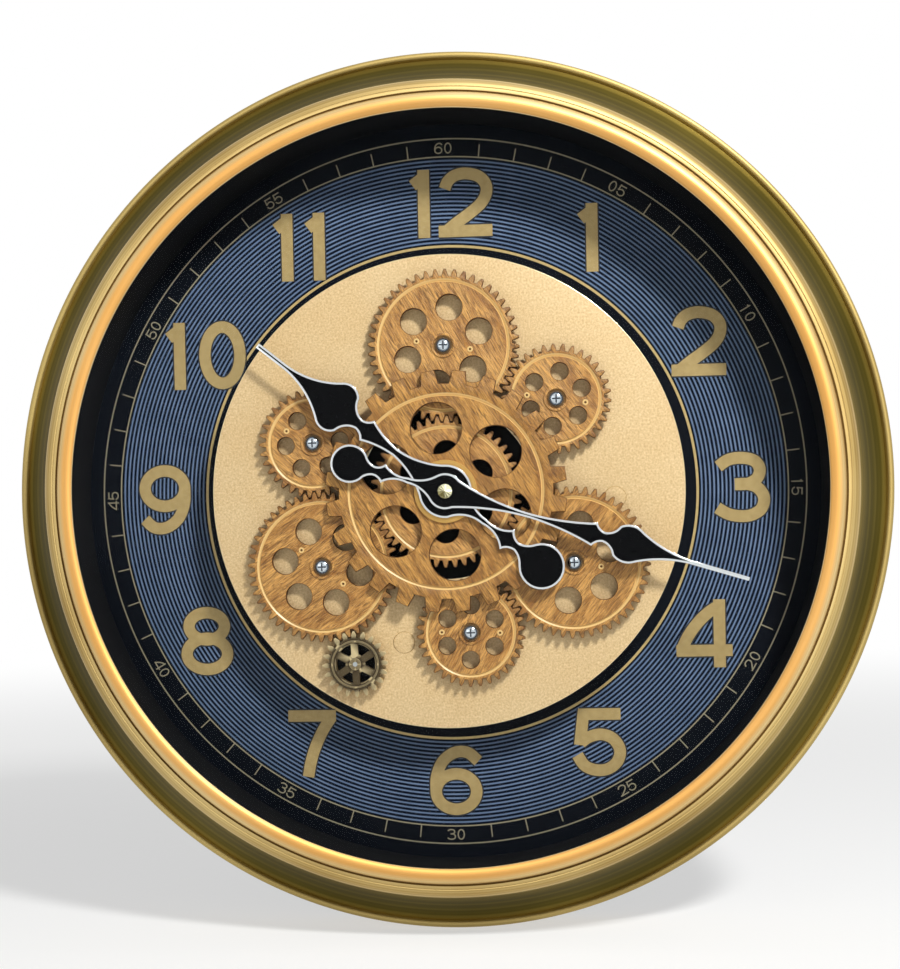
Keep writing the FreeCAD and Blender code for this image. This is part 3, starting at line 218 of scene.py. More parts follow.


# Brushed anodised aluminium with fine rings. Each zone's tone is painted reflection: the inner band a satin
# peach gold, with a deeper orange across its crest
band_gold = spun_metal("anodised_band_painted_reflection", "#E2CB95", "#CDAD70", 0.9, 0.5, 0.4,
                       painted_deep_tone=("#D49E54", 240.0, 246.0, 250.5, 254.5), metallic=0.85)
# The bead between groove and cove, painted paler as painted reflection, and a little more polished
bead_gold = spun_metal("anodised_bead_painted_reflection", "#CFB77C", "#A2854A", 1.2, 0.5, metallic=0.85)
# The cove, a deeper olive gold as painted reflection, darkest in its middle as painted reflection, with clear
# streaks around it from the spinning
cove_gold = spun_metal("anodised_cove_painted_reflection", "#AE994C", "#857030", 2.2, 0.42, 0.6,
                       painted_deep_tone=("#463D00", 267.0, 276.0, 286.0, 293.0), metallic=0.85)
# The rolled edge and the side wall, a matt beige gold as painted reflection
roll_gold = spun_metal("anodised_roll_painted_reflection", "#C0AA6C", "#9E8850", 1.4, 0.55, metallic=0.85)
# The lip's edge: a thin bright line, a painted highlight
lip_painted_highlight = spun_metal("painted_highlight_on_lip", "#F4DFB0", "#DDBE84", 0.6, 0.35)


def mottled_finish(name, light, dark, metallic, roughness, grain_mm, detail=4.0, bump=(0.1, 0.03), **sockets):
    """A finish of two tones in a slight mottle, grain_mm across; the bump is its strength and its depth in mm."""
    material, tree, shader = new_material(name, Metallic=metallic, Roughness=roughness, **sockets)
    noise = add_node(tree, "TexNoise", {"Scale": 1000 / grain_mm, "Detail": detail}).outputs[0]
    tone = add_node(tree, "Mix", {0: noise, 6: colour(dark), 7: colour(light)}, data_type="RGBA")
    tree.links.new(tone.outputs[2], shader.inputs["Base Color"])
    if bump:
        strength, depth_mm = bump
        relief = add_node(tree, "Bump", {"Strength": strength, "Distance": depth_mm / 1000, "Height": noise})
        tree.links.new(relief.outputs[0], shader.inputs["Normal"])
    return material


# Painted shade in the groove: matt and brown
groove_painted_shade = mottled_finish("painted_shade_in_groove", "#8F6D34", "#634717", 0.6, 0.6, 6.0, 3.0, None)

OPENING, FLANGE_RADIUS, SIDE_RADIUS, CLOCK_RADIUS, FRAME_WALL = 245.6, 276.0, 294.0, 296.0, 1.6
BOARD_FRONT, SIDE_FRONT, LIP_REAR, LIP_FRONT, SHOULDER = 4.2, 29.1, 79.5, 80.53, 77.9
LIP_TURN, FLANGE_EDGE = 0.5, 0.3
# Where the profile changes its course, as radius and level
BAND_START, BAND_CREST, BAND_END = (OPENING + 0.35, LIP_FRONT + 0.25), (250.4, 82.6), (256.2, SHOULDER + 0.3)
GROOVE_START, GROOVE_FLOOR, GROOVE_END = (256.5, SHOULDER - 0.2), (257.0, 76.8), (257.6, SHOULDER - 0.2)
STEP_CREST, STEP_END, STEP_DIP = (258.4, SHOULDER - 0.1), (259.6, SHOULDER - 0.35), (259.9, SHOULDER - 0.9)
BEAD_START, BEAD_CREST, BEAD_END = (260.5, SHOULDER - 0.65), (264.9, 74.6), (267.0, 68.9)
COVE_DEEP, COVE_END = (275.2, 48.6), (291.2, 33.9)
ROLL_CREST, ROLL_END, ROLL_UNDER = ((COVE_END[0] + CLOCK_RADIUS) / 2, 36.1), (CLOCK_RADIUS, 32.6), (295.6, 30.6)
# The same course inside the sheet, from the side wall back to the lip
INNER_ROLL, INNER_COVE, INNER_BEAD = (290.7, 32.3), (274.0, 47.5), (265.4, 68.4)
INNER_STEP, INNER_BAND, INNER_LIP = (262.0, 73.6), (253.6, 75.2), (252.8, LIP_REAR)
BAND, GROOVE_SHADE, BEAD, COVE, LIP, ROLL = range(6)

ring = bmesh.new()
lip_back, inside = (OPENING + LIP_TURN, LIP_REAR), SIDE_RADIUS - FRAME_WALL
for course, slot in (
        # The lip takes the painted highlight
        ([lip_back, (OPENING, LIP_REAR), (OPENING, LIP_FRONT - 0.2), BAND_START], LIP),
        (bowed(BAND_START, BAND_CREST, BAND_END), BAND),
        # The groove takes the painted shade
        (softened([(*BAND_END, 0), (*GROOVE_START, 0), (*GROOVE_FLOOR, 0.4), (*GROOVE_END, 0)]), GROOVE_SHADE),
        ([GROOVE_END, STEP_CREST, STEP_END, STEP_DIP, BEAD_START], BEAD),
        (bowed(BEAD_START, BEAD_CREST, BEAD_END, 16), BEAD),
        (bowed(BEAD_END, COVE_DEEP, COVE_END, 24), COVE),
        (bowed(COVE_END, ROLL_CREST, ROLL_END, 10), ROLL),
        (bowed(ROLL_END, ROLL_UNDER, (SIDE_RADIUS, SIDE_FRONT), 6), ROLL),
        ([(SIDE_RADIUS, SIDE_FRONT), (SIDE_RADIUS, BOARD_FRONT + FLANGE_EDGE),
          (SIDE_RADIUS - FLANGE_EDGE, BOARD_FRONT), (FLANGE_RADIUS, BOARD_FRONT),
          (FLANGE_RADIUS, BOARD_FRONT + FRAME_WALL), (inside, BOARD_FRONT + FRAME_WALL), (inside, SIDE_FRONT),
          INNER_ROLL], ROLL),
        (bowed(INNER_ROLL, INNER_COVE, INNER_BEAD, 20) + [INNER_STEP, INNER_BAND, INNER_LIP, lip_back], ROLL)):
    spin(ring, course, FRAME_SEGMENTS, slot=slot)
make_piece(ring, "spun_gold_frame", [band_gold, groove_painted_shade, bead_gold, cove_gold, lip_painted_highlight, roll_gold], "case",
           ["bezel_frame"])

# Glass pane with its rubber gasket. Float glass with ground edges lies on the black wall and is held by the
# frame's lip through a soft black ring.

GLASS_RADIUS, GLASS_REAR, GLASS_FRONT, GLASS_EDGE = 252.0, 76.5, 79.0, 0.4
GASKET_IN, GASKET_OUT = 246.2, 250.8

# Clear float glass with an anti-glare coating: it shows only as a faint cool reflection
clear_glass, glass_tree, glass_shader = new_material("float_glass_coated")
glass_out = glass_tree.nodes["Material Output"]
see_through = add_node(glass_tree, "BsdfTransparent", {"Color": colour("#FDFEFE")})
mirror = add_node(glass_tree, "BsdfGlossy", {"Color": colour("#EEF3F8"), "Roughness": 0.02})
front_only = add_node(glass_tree, "Math", {0: 1.0, 1: add_node(glass_tree, "NewGeometry").outputs["Backfacing"]},
                      operation="SUBTRACT")
edge_on = add_node(glass_tree, "Fresnel", {"IOR": 1.1})
amount = add_node(glass_tree, "Math", {0: edge_on.outputs[0], 1: front_only.outputs[0]}, operation="MULTIPLY")
pane_mix = add_node(glass_tree, "MixShader", {0: amount.outputs[0], 1: see_through.outputs[0],
                                              2: mirror.outputs[0]})
glass_tree.links.new(pane_mix.outputs[0], glass_out.inputs["Surface"])
glass_tree.nodes.remove(glass_shader)

pane = bmesh.new()
spin(pane, softened([(0, GLASS_REAR, 0), (GLASS_RADIUS, GLASS_REAR, GLASS_EDGE),
                     (GLASS_RADIUS, GLASS_FRONT, GLASS_EDGE), (0, GLASS_FRONT, 0)], steps=2), FRAME_SEGMENTS)
make_piece(pane, "glass_pane", [clear_glass], "case", ["glass"])

# Black rubber: matt, with a faint tooth
rubber, rubber_tree, rubber_shader = new_material("black_rubber", Roughness=0.75)
rubber_shader.inputs["Base Color"].default_value = colour("#121212")
rubber_noise = add_node(rubber_tree, "TexNoise", {"Scale": 1000 / 0.8, "Detail": 2.0})
rubber_bump = add_node(rubber_tree, "Bump", {"Strength": 0.3, "Distance": 0.0001,
                                             "Height": rubber_noise.outputs[0]})
rubber_tree.links.new(rubber_bump.outputs[0], rubber_shader.inputs["Normal"])


def ring_section(inner, outer, rear, front, edge=0.0):
    """Closed outline of a ring's square section, its corners rounded by edge."""
    corners = ((inner, rear), (outer, rear), (outer, front), (inner, front), (inner, rear))
    return softened([(*corner, edge) for corner in corners], steps=2)


gasket = bmesh.new()
spin(gasket, ring_section(GASKET_IN, GASKET_OUT, GLASS_FRONT, LIP_REAR, 0.1), FRAME_SEGMENTS)
make_piece(gasket, "gasket_ring", [rubber], "case", ["glass_gasket"])

# Black wall between dial and glass, and black drum that carries the gear plate. Both are moulded ABS rings with
# a satin face; the drum's foot is screwed to the dial board from behind.

DIAL_FRONT, PLATE_REAR, PLATE_FRONT = 28.0, 53.5, 56.0
SKIRT_IN, SKIRT_OUT, WALL_EDGE = 249.5, 252.0, 0.2
FOOT_IN, DRUM_IN, DRUM_OUT, FOOT_FRONT, FOOT_EDGE, FOOT_FILLET = 145.0, 153.5, 156.0, 30.5, 0.3, 0.8

# Moulded black ABS: satin, with a faint spark-eroded texture
black_abs = mottled_finish("moulded_black_abs", "#141416", "#08080A", 0.0, 0.5, 1.2, 3.0, (0.05, 0.03),
                           Specular_IOR_Level=0.12)

skirt = bmesh.new()
spin(skirt, ring_section(SKIRT_IN, SKIRT_OUT, DIAL_FRONT, GLASS_REAR, WALL_EDGE), FRAME_SEGMENTS)
make_piece(skirt, "dial_wall", [black_abs], "case", ["dial_skirt"])
drum = bmesh.new()
spin(drum, softened([(FOOT_IN, DIAL_FRONT, 0), (DRUM_OUT, DIAL_FRONT, WALL_EDGE),
                     (DRUM_OUT, PLATE_REAR, WALL_EDGE), (DRUM_IN, PLATE_REAR, WALL_EDGE),
                     (DRUM_IN, FOOT_FRONT, FOOT_FILLET), (FOOT_IN, FOOT_FRONT, FOOT_EDGE),
                     (FOOT_IN, DIAL_FRONT, 0)], steps=3), 240)
make_piece(drum, "plate_drum", [black_abs], "case", ["gear_drum"])

# Dial board and its print. The board is MDF with a printed and lacquered face: a black rim, an outer track, a
# broad band of silver-blue rings on navy, and a gold ring round the drum. Hour numerals are gold foil with a
# dark keyline; track, ticks and minute numbers are a thin pale gold print.

RING_PITCH, RING_WIDTH, RING_BLUR, BAND_BLUR = 2.745, 1.15, 0.12, 0.1
RINGS_START, RINGS_END, TRACK_INNER, TRACK_OUTER = 168.9, 226.8, 227.8, 239.9

# Printed lacquer on MDF: satin, navy band with pale rings, near black outside it
printed_dial, dial_tree, dial_shader = new_material("printed_lacquer_on_mdf", Roughness=0.4,
                                                    Specular_IOR_Level=0.06)
dial_place = add_node(dial_tree, "TexCoord").outputs["Object"]
dial_mm = add_node(dial_tree, "Math", {0: reach_of(dial_tree, dial_place), 1: 1000.0},
                   operation="MULTIPLY").outputs[0]
from_start = add_node(dial_tree, "Math", {0: dial_mm, 1: RINGS_START}, operation="SUBTRACT").outputs[0]
to_line = add_node(dial_tree, "Math", {0: from_start, 1: RING_PITCH / 2}, operation="PINGPONG").outputs[0]
line_edge = (RING_PITCH - RING_WIDTH) / 2
line = add_node(dial_tree, "MapRange", {0: to_line, 1: line_edge - RING_BLUR,
                                        2: line_edge + RING_BLUR}).outputs[0]
ink_noise = add_node(dial_tree, "TexNoise", {"Vector": dial_place, "Scale": 1000 / 14.0,
                                             "Detail": 4.0}).outputs[0]
ink = add_node(dial_tree, "Mix", {0: ink_noise, 6: colour("#51627E"), 7: colour("#7688A6")}, data_type="RGBA")
navy = add_node(dial_tree, "Mix", {0: ink_noise, 6: colour("#080D18"), 7: colour("#0F1626")}, data_type="RGBA")
banded = add_node(dial_tree, "Mix", {0: line, 6: navy.outputs[2], 7: ink.outputs[2]}, data_type="RGBA").outputs[2]
past_start, past_band = (
    add_node(dial_tree, "MapRange", {0: dial_mm, 1: edge - BAND_BLUR, 2: edge + BAND_BLUR}).outputs[0]
    for edge in (RINGS_START, RINGS_END))
rim_black = add_node(dial_tree, "Mix", {0: ink_noise, 6: colour("#07090E"), 7: colour("#0C1018")},
                     data_type="RGBA")
inner = add_node(dial_tree, "Mix", {0: past_start, 6: rim_black.outputs[2], 7: banded},
                 data_type="RGBA").outputs[2]
dial_tone = add_node(dial_tree, "Mix", {0: past_band, 6: inner, 7: rim_black.outputs[2]}, data_type="RGBA")
dial_tree.links.new(dial_tone.outputs[2], dial_shader.inputs["Base Color"])
lacquer = add_node(dial_tree, "TexNoise", {"Vector": dial_place, "Scale": 1000 / 6.0, "Detail": 1.0})
dial_bump = add_node(dial_tree, "Bump", {"Strength": 0.03, "Distance": 0.00002, "Height": lacquer.outputs[0]})
dial_tree.links.new(dial_bump.outputs[0], dial_shader.inputs["Normal"])

# Gold foil of the hour numerals: satin, olive gold
numeral_foil = mottled_finish("gold_foil_numerals", "#BAA16B", "#937947", 0.25, 0.42, 9.0)
# Keyline round each numeral: near black ink
keyline_ink = mottled_finish("black_keyline_ink", "#0C111C", "#070A12", 0.0, 0.5, 3.0)
# Pale gold print of track and minute numbers, duller than the foil
track_ink = mottled_finish("pale_gold_track_ink", "#A49A80", "#857A60", 0.2, 0.5, 5.0)
# Gold ring printed close round the drum
ring_foil = mottled_finish("gold_foil_ring", "#D2B77E", "#A98D55", 0.25, 0.4, 7.0)


def smooth_line(points, closed=False, steps=7):
    """A line through the given points, bent evenly between them; straight where only two are given."""
    if len(points) == 2:
        return [Vector(point) for point in points]
    count = len(points)
    spans = count if closed else count - 1
    line = []
    for span in range(spans):
        a, b, c, d = (Vector(points[(span + k) % count] if closed else points[min(max(span + k, 0), count - 1)])
                      for k in (-1, 0, 1, 2))
        for step in range(steps):
            t = step / steps
            line.append((b * 2 + (c - a) * t + (a * 2 - b * 5 + c * 4 - d) * t ** 2
                         + (b * 3 - a - c * 3 + d) * t ** 3) / 2)
    if not closed:
        line.append(Vector(points[-1]))
    return line


def oval(x, y, across, up, count=10):
    """Points of an oval round x, y."""
    return [(x + across * math.cos(math.tau * k / count), y + up * math.sin(math.tau * k / count))
            for k in range(count)]


# Centre lines of the digits, for a height of 46 with a stroke of 7.8: (points, closed)
DIGIT_LINES = {
    "0": [(oval(0.0, 0.0, 12.2, 19.3, 14), True)],
    "1": [([(1.2, 23.0), (1.2, -23.0)], False), ([(-6.3, 12.6), (0.6, 17.6)], False)],
    "2": [([(-14.4, 9.6), (-12.2, 14.6), (-7.4, 18.4), (0.0, 19.6), (8.6, 17.4), (13.4, 12.0), (13.6, 5.6),
            (10.0, -0.8), (2.4, -7.2), (-6.8, -13.6), (-14.4, -19.6)], False),
          ([(-19.0, -19.0), (17.5, -19.0)], False)],
    "3": [([(-15.2, 14.0), (-8.6, 18.4), (0.0, 19.6), (8.6, 17.6), (12.4, 12.0), (10.6, 5.8), (4.6, 2.2),
            (-4.4, 1.9)], False),
          ([(-4.4, 1.9), (4.0, 1.9), (11.0, -0.8), (15.0, -7.4), (13.2, -14.6), (7.4, -18.6), (0.0, -19.6),
            (-8.8, -18.0), (-16.2, -13.6)], False)],
    "4": [([(10.4, 23.0), (10.4, -23.0)], False), ([(-18.6, -11.5), (19.0, -11.5)], False),
          ([(11.0, 19.0), (3.6, 14.6), (-4.0, 7.4), (-10.6, -1.6), (-15.4, -11.5)], False)],
    "5": [([(-13.0, 18.2), (15.0, 18.2)], False), ([(-9.8, 21.8), (-12.8, -2.8)], False),
          ([(-12.2, -1.2), (-6.6, 2.6), (1.6, 4.4), (9.6, 1.4), (14.2, -6.0), (12.6, -13.8), (6.4, -19.0),
            (-1.6, -20.0), (-9.6, -17.0), (-14.6, -9.6)], False)],
    "6": [(oval(0.6, -7.6, 13.9, 12.2, 12), True),
          ([(-13.3, -7.6), (-12.8, 3.0), (-8.4, 13.2), (-0.2, 19.2), (8.6, 19.2), (16.0, 13.2)], False)],
    "7": [([(-16.4, 19.2), (16.8, 19.2)], False),
          ([(13.4, 18.0), (7.4, 8.8), (2.2, -2.2), (-1.2, -12.6), (-3.2, -23.0)], False)],
    "8": [(oval(0.0, 10.2, 12.4, 9.4, 12), True), (oval(0.0, -8.9, 14.2, 10.8, 12), True)],
    "9": [(oval(-0.6, 7.6, 13.9, 12.2, 12), True),
          ([(13.3, 7.6), (12.8, -3.0), (8.4, -13.2), (0.2, -19.2), (-8.6, -19.2), (-15.0, -13.4)], False)],
}


def stroke_faces(corners, faces, line, closed, half_width):
    """Adds quads along a line, half_width to each side of it."""
    count = len(line)
    first = len(corners)
    for number, here in enumerate(line):
        before = line[number - 1] if closed or number else here
        after = line[(number + 1) % count] if closed or number < count - 1 else here
        along = (after - before).normalized()
        side = Vector((-along.y, along.x)) * half_width
        corners += [here + side, here - side]
    for number in range(count if closed else count - 1):
        near, far = first + 2 * number, first + 2 * ((number + 1) % count)
        faces.append((near, near + 1, far + 1, far))


MERGE_MM = 1e-4  # crossing strokes closer than this share a corner


def printed_shape(shape, corners, faces, low, high):
    """One flat print from overlapping faces: their outline in common, raised from low to high."""
    points, _, areas, _, _, sources = delaunay_2d_cdt(corners, [], faces, 1, MERGE_MM)
    areas = [area for area, source in zip(areas, sources) if source]
    for level in (low, high):
        layer = [shape.verts.new(face_point(point.x, point.y, level)) for point in points]
        for area in areas:
            shape.faces.new([layer[corner] for corner in area])
        if level == low:
            ground = layer
    sides = {}
    for area in areas:
        for a, b in zip(area, list(area[1:]) + [area[0]]):
            key = (min(a, b), max(a, b))
            sides[key] = None if key in sides else (a, b)
    for pair in sides.values():
        if pair:
            a, b = pair
            shape.faces.new((ground[a], ground[b], layer[b], layer[a]))


def write_digits(corners, faces, text, spacing, scale, half_width, x, y, turn=0.0):
    """Strokes of the digits in text, centred at x, y and turned by turn, anticlockwise."""
    offsets = {1: (0.0,), 2: (-spacing / 2, spacing / 2)}[len(text)]
    spin_by = Matrix.Rotation(turn, 2)
    for digit, offset in zip(text, offsets):
        for points, closed in DIGIT_LINES[digit]:
            line = [spin_by @ (point * scale + Vector((offset, 0))) + Vector((x, y))
                    for point in smooth_line(points, closed)]
            stroke_faces(corners, faces, line, closed, half_width)


NUMERAL_REACH, NUMERAL_HALF_STROKE, KEYLINE = 196.5, 3.95, 0.95
PRINT_LOW, INK_FRONT, FOIL_FRONT = 28.0, 28.06, 28.16
foil_shape, key_shape = bmesh.new(), bmesh.new()
for hour in range(1, 13):
    angle = math.tau * hour / 12
    x, y = NUMERAL_REACH * math.sin(angle), NUMERAL_REACH * math.cos(angle)
    spacing = {10: 31.0, 11: 22.0, 12: 30.0}.get(hour, 0.0)
    for shape, half_width, front in ((foil_shape, NUMERAL_HALF_STROKE, FOIL_FRONT),
                                     (key_shape, NUMERAL_HALF_STROKE + KEYLINE, INK_FRONT)):
        corners, faces = [], []
        write_digits(corners, faces, str(hour), spacing, 1.0, half_width, x, y)
        printed_shape(shape, corners, faces, PRINT_LOW, front)
make_piece(foil_shape, "hour_numerals", [numeral_foil], "case")
make_piece(key_shape, "numeral_keylines", [keyline_ink], "case")

TRACK_LINE, TICK_WIDTH, TICK_END = 0.9, 0.8, 236.6
MINUTE_REACH, MINUTE_SCALE, MINUTE_HALF_STROKE, MINUTE_SPACING = 233.6, 0.17, 0.42, 6.6
track_shape = bmesh.new()
for radius in (TRACK_INNER, TRACK_OUTER):
    spin(track_shape, ring_section(radius - TRACK_LINE / 2, radius + TRACK_LINE / 2, PRINT_LOW, INK_FRONT),
         FRAME_SEGMENTS)
for minute in range(1, 61):
    angle = math.tau * minute / 60
    outward = Vector((math.sin(angle), math.cos(angle)))
    corners, faces = [], []
    if minute % 5:
        stroke_faces(corners, faces, [outward * (TRACK_INNER + TRACK_LINE / 2), outward * TICK_END], False,
                     TICK_WIDTH / 2)
    else:
        upside = math.pi if 15 < minute < 45 else 0.0
        write_digits(corners, faces, f"{minute:02d}", MINUTE_SPACING, MINUTE_SCALE, MINUTE_HALF_STROKE,
                     *(outward * MINUTE_REACH), -angle + upside)
    printed_shape(track_shape, corners, faces, PRINT_LOW, INK_FRONT)
make_piece(track_shape, "minute_track", [track_ink], "case")
GOLD_RING_IN, GOLD_RING_OUT = 166.6, 168.3
gold_ring = bmesh.new()
spin(gold_ring, ring_section(GOLD_RING_IN, GOLD_RING_OUT, PRINT_LOW, INK_FRONT), FRAME_SEGMENTS)
make_piece(gold_ring, "drum_ring_print", [ring_foil], "case")

# Gear plate. A raised disc of sheet aluminium with a fine champagne grain, open in the middle, held to three
# posts by flush caps in its own finish.

PLATE_RADIUS, PLATE_HOLE, PLATE_EDGE = 157.0, 57.5, 0.35
CAP_RADIUS, CAP_DEPTH, CAP_BEVEL, CAP_EDGE, CAP_GAP = 7.0, 1.2, 0.3, 0.45, 0.05
CAP_SHANK, CAP_SHANK_HOLE, CAP_SHANK_LENGTH, POST_HOLE, SHAFT_HOLE = 2.0, 2.05, 9.0, 2.55, 13.2
CAP_PLACES = ((104.0, 197.0), (111.0, 93.0), (92.0, 309.0))  # reach and angle from twelve
# Slots of the plate: its sheet, and the painted highlight on its edges
SHEET, HIGHLIGHT_EDGE = range(2)
MODULE, WHEEL_TEETH, SMALL_TEETH, PINION_TEETH = 2.0, 48, 34, 20


def on_clock(reach, angle):
    """Place at a reach from the centre and an angle clockwise from twelve."""
    return Vector((reach * math.sin(math.radians(angle)), reach * math.cos(math.radians(angle))))


def loop_of(radius, count, x=0.0, y=0.0):
    """Points of a circle round x, y, anticlockwise."""
    return [(x + radius * math.cos(math.tau * k / count), y + radius * math.sin(math.tau * k / count))
            for k in range(count)]


def inside_of(outline, x, y):
    """Whether a point is inside a closed outline."""
    inside = False
    for (ax, ay), (bx, by) in zip(outline, outline[1:] + outline[:1]):
        if (ay > y) != (by > y) and x < (bx - ax) * (y - ay) / (by - ay) + ax:
            inside = not inside
    return inside


def cap_face(shape, level, outline, holes=(), slot=0):
    """A flat face at one level inside an outline and outside its holes."""
    corners, edges = [], []
    for loop in (outline, *holes):
        first = len(corners)
        corners += [Vector(point) for point in loop]
        edges += [(first + k, first + (k + 1) % len(loop)) for k in range(len(loop))]
    points, _, areas, *_ = delaunay_2d_cdt(corners, edges, [], 1, MERGE_MM / 10)
    made = [shape.verts.new(face_point(point.x, point.y, level)) for point in points]
    for area in areas:
        middle = sum((points[corner] for corner in area), Vector((0, 0))) / len(area)
        if inside_of(outline, *middle) and not any(inside_of(hole, *middle) for hole in holes):
            face = shape.faces.new([made[corner] for corner in area])
            face.material_index = slot


def inset(outline, distance):
    """An anticlockwise outline moved inwards by a distance, its mitred corners cut short where sharp."""
    sharpest = 0.35
    moved_in = []
    for number, here in enumerate(outline):
        here = Vector(here)
        before = (here - Vector(outline[number - 1])).normalized()
        after = (Vector(outline[(number + 1) % len(outline)]) - here).normalized()
        first, second = Vector((-before.y, before.x)), Vector((-after.y, after.x))
        step = (first + second) / max(sharpest, 1 + first.dot(second))
        moved_in.append(tuple(here + step * distance))
    return moved_in


def rounded_side(shape, outline, rear, front, edge, slot=0, steps=3):
    """The side of a plate with its edges rounded; gives the outline left for the flat faces."""
    rounding = [(edge * (1 - math.sin(math.pi / 2 * k / steps)), edge * (1 - math.cos(math.pi / 2 * k / steps)))
                for k in range(steps + 1)]
    low = [[face_point(x, y, rear + depth) for x, y in inset(outline, inward)] for inward, depth in rounding]
    high = [[face_point(x, y, front - depth) for x, y in inset(outline, inward)]
            for inward, depth in reversed(rounding)]
    loft(shape, low + high, slot)
    return inset(outline, edge)


def swap(points):
    """The same outline the other way round, as a hole has it."""
    return list(reversed(points))


# Sheet aluminium lacquered in champagne, with a fine leather-like grain about 1.3 mm across
plate_sheet, plate_tree, plate_shader = new_material("champagne_lacquered_sheet", Metallic=0.08, Roughness=0.42,
                                                     Specular_IOR_Level=0.3)
plate_place = add_node(plate_tree, "TexCoord").outputs["Object"]
grain = add_node(plate_tree, "TexNoise", {"Vector": plate_place, "Scale": 1000 / 1.3, "Detail": 3.0,
                                          "Roughness": 0.6}).outputs[0]
cloud = add_node(plate_tree, "TexNoise", {"Vector": plate_place, "Scale": 1000 / 45.0, "Detail": 3.0}).outputs[0]
grain_spread = add_node(plate_tree, "MapRange", {0: grain, 1: 0.3, 2: 0.7}).outputs[0]
cloud_spread = add_node(plate_tree, "MapRange", {0: cloud, 1: 0.3, 2: 0.7}).outputs[0]
plate_base = add_node(plate_tree, "Mix", {0: grain_spread, 6: colour("#B08A58"), 7: colour("#E9CC9E")},
                      data_type="RGBA").outputs[2]
plate_warm = add_node(plate_tree, "Mix", {0: cloud_spread, 6: colour("#D6B27C"), 7: colour("#E3C798")},
                      data_type="RGBA").outputs[2]
plate_tone = add_node(plate_tree, "Mix", {0: 0.35, 6: plate_base, 7: plate_warm}, data_type="RGBA").outputs[2]
plate_tree.links.new(plate_tone, plate_shader.inputs["Base Color"])
plate_rough = add_node(plate_tree, "MapRange", {0: grain, 3: 0.34, 4: 0.52}).outputs[0]
plate_tree.links.new(plate_rough, plate_shader.inputs["Roughness"])
plate_bump = add_node(plate_tree, "Bump", {"Strength": 0.5, "Distance": 0.00008, "Height": grain}).outputs[0]
plate_tree.links.new(plate_bump, plate_shader.inputs["Normal"])
# Cut edges of the same sheet, painted bright: a painted highlight
plate_edge_highlight = mottled_finish("painted_highlight_on_plate_edges", "#F2E6C8", "#D9C79C", 1.0, 0.25, 4.0)

large_places = {name: on_clock(MODULE * WHEEL_TEETH, angle)
                for name, angle in (("top", 0), ("right", 120), ("left", 240))}
SMALL_RING = 94.1  # reach of the small wheels' axles
large_ring, small_distance = MODULE * WHEEL_TEETH, MODULE * (WHEEL_TEETH + SMALL_TEETH) / 2
small_step = math.degrees(math.acos((SMALL_RING ** 2 + large_ring ** 2 - small_distance ** 2)
                                    / (2 * SMALL_RING * large_ring)))
small_places = {name: on_clock(SMALL_RING, angle + small_step)
                for name, angle in (("upper", 0), ("lower", 120), ("left", 240))}
PINION_DIRECTION = 162.4
pinion_place = large_places["left"] + on_clock(MODULE * (WHEEL_TEETH + PINION_TEETH) / 2, PINION_DIRECTION)

plate = bmesh.new()
cap_spots = [on_clock(reach, angle) for reach, angle in CAP_PLACES]
plate_outline = loop_of(PLATE_RADIUS, 240)
hole_outline = loop_of(PLATE_HOLE, 160)
# The plate's rounded edges, outside and round its hole, take the painted highlight
flat_outline = rounded_side(plate, plate_outline, PLATE_REAR, PLATE_FRONT, PLATE_EDGE, HIGHLIGHT_EDGE)
rounded_side(plate, swap(hole_outline), PLATE_REAR, PLATE_FRONT, PLATE_EDGE, HIGHLIGHT_EDGE)
flat_hole = loop_of(PLATE_HOLE + PLATE_EDGE, 160)
front_holes, rear_holes = [flat_hole], [flat_hole]
seat, cap_rear = CAP_RADIUS + CAP_GAP, PLATE_FRONT - CAP_DEPTH
for spot in cap_spots:
    # The seat chamfer round each cap takes the painted highlight
    spin(plate, [(seat + CAP_BEVEL, PLATE_FRONT), (seat, PLATE_FRONT - CAP_BEVEL)], 48, *spot, slot=HIGHLIGHT_EDGE)
    spin(plate, [(seat, PLATE_FRONT - CAP_BEVEL), (seat, cap_rear), (CAP_SHANK_HOLE, cap_rear),
                 (CAP_SHANK_HOLE, PLATE_REAR)], 48, *spot)
    front_holes.append(loop_of(seat + CAP_BEVEL, 48, *spot))
    rear_holes.append(loop_of(CAP_SHANK_HOLE, 48, *spot))
plain_holes = [(spot, POST_HOLE, 32, SHEET) for spot in (*large_places.values(), *small_places.values())]
# The shaft hole's wall takes the painted highlight
plain_holes.append((pinion_place, SHAFT_HOLE, 96, HIGHLIGHT_EDGE))
for spot, radius, count, slot in plain_holes:
    spin(plate, [(radius, PLATE_FRONT), (radius, PLATE_REAR)], count, *spot, slot=slot)
    front_holes.append(loop_of(radius, count, *spot))
    rear_holes.append(loop_of(radius, count, *spot))
cap_face(plate, PLATE_FRONT, flat_outline, front_holes)
cap_face(plate, PLATE_REAR, flat_outline, rear_holes)
make_piece(plate, "grained_plate", [plate_sheet, plate_edge_highlight], "case", ["gear_plate"])
caps = bmesh.new()
shank_end = cap_rear - CAP_SHANK_LENGTH
for spot in cap_spots:
    spin(caps, softened([(0, PLATE_FRONT, 0), (CAP_RADIUS, PLATE_FRONT, CAP_EDGE), (CAP_RADIUS, cap_rear, 0),
                         (CAP_SHANK, cap_rear, 0), (CAP_SHANK, shank_end, 0), (0, shank_end, 0)], steps=3),
         48, *spot)
make_piece(caps, "flush_caps", [plate_sheet], "case", ["plate_screws"])

# Toothed wheels. Laser-cut hardwood, teak brown with clear grain, six round holes, a turned groove inside the
# rim, a raised boss and two small eyelets, groove and eyelets gilt. Each turns on its steel post; the central one
# sits on the bush behind the coarse gear.

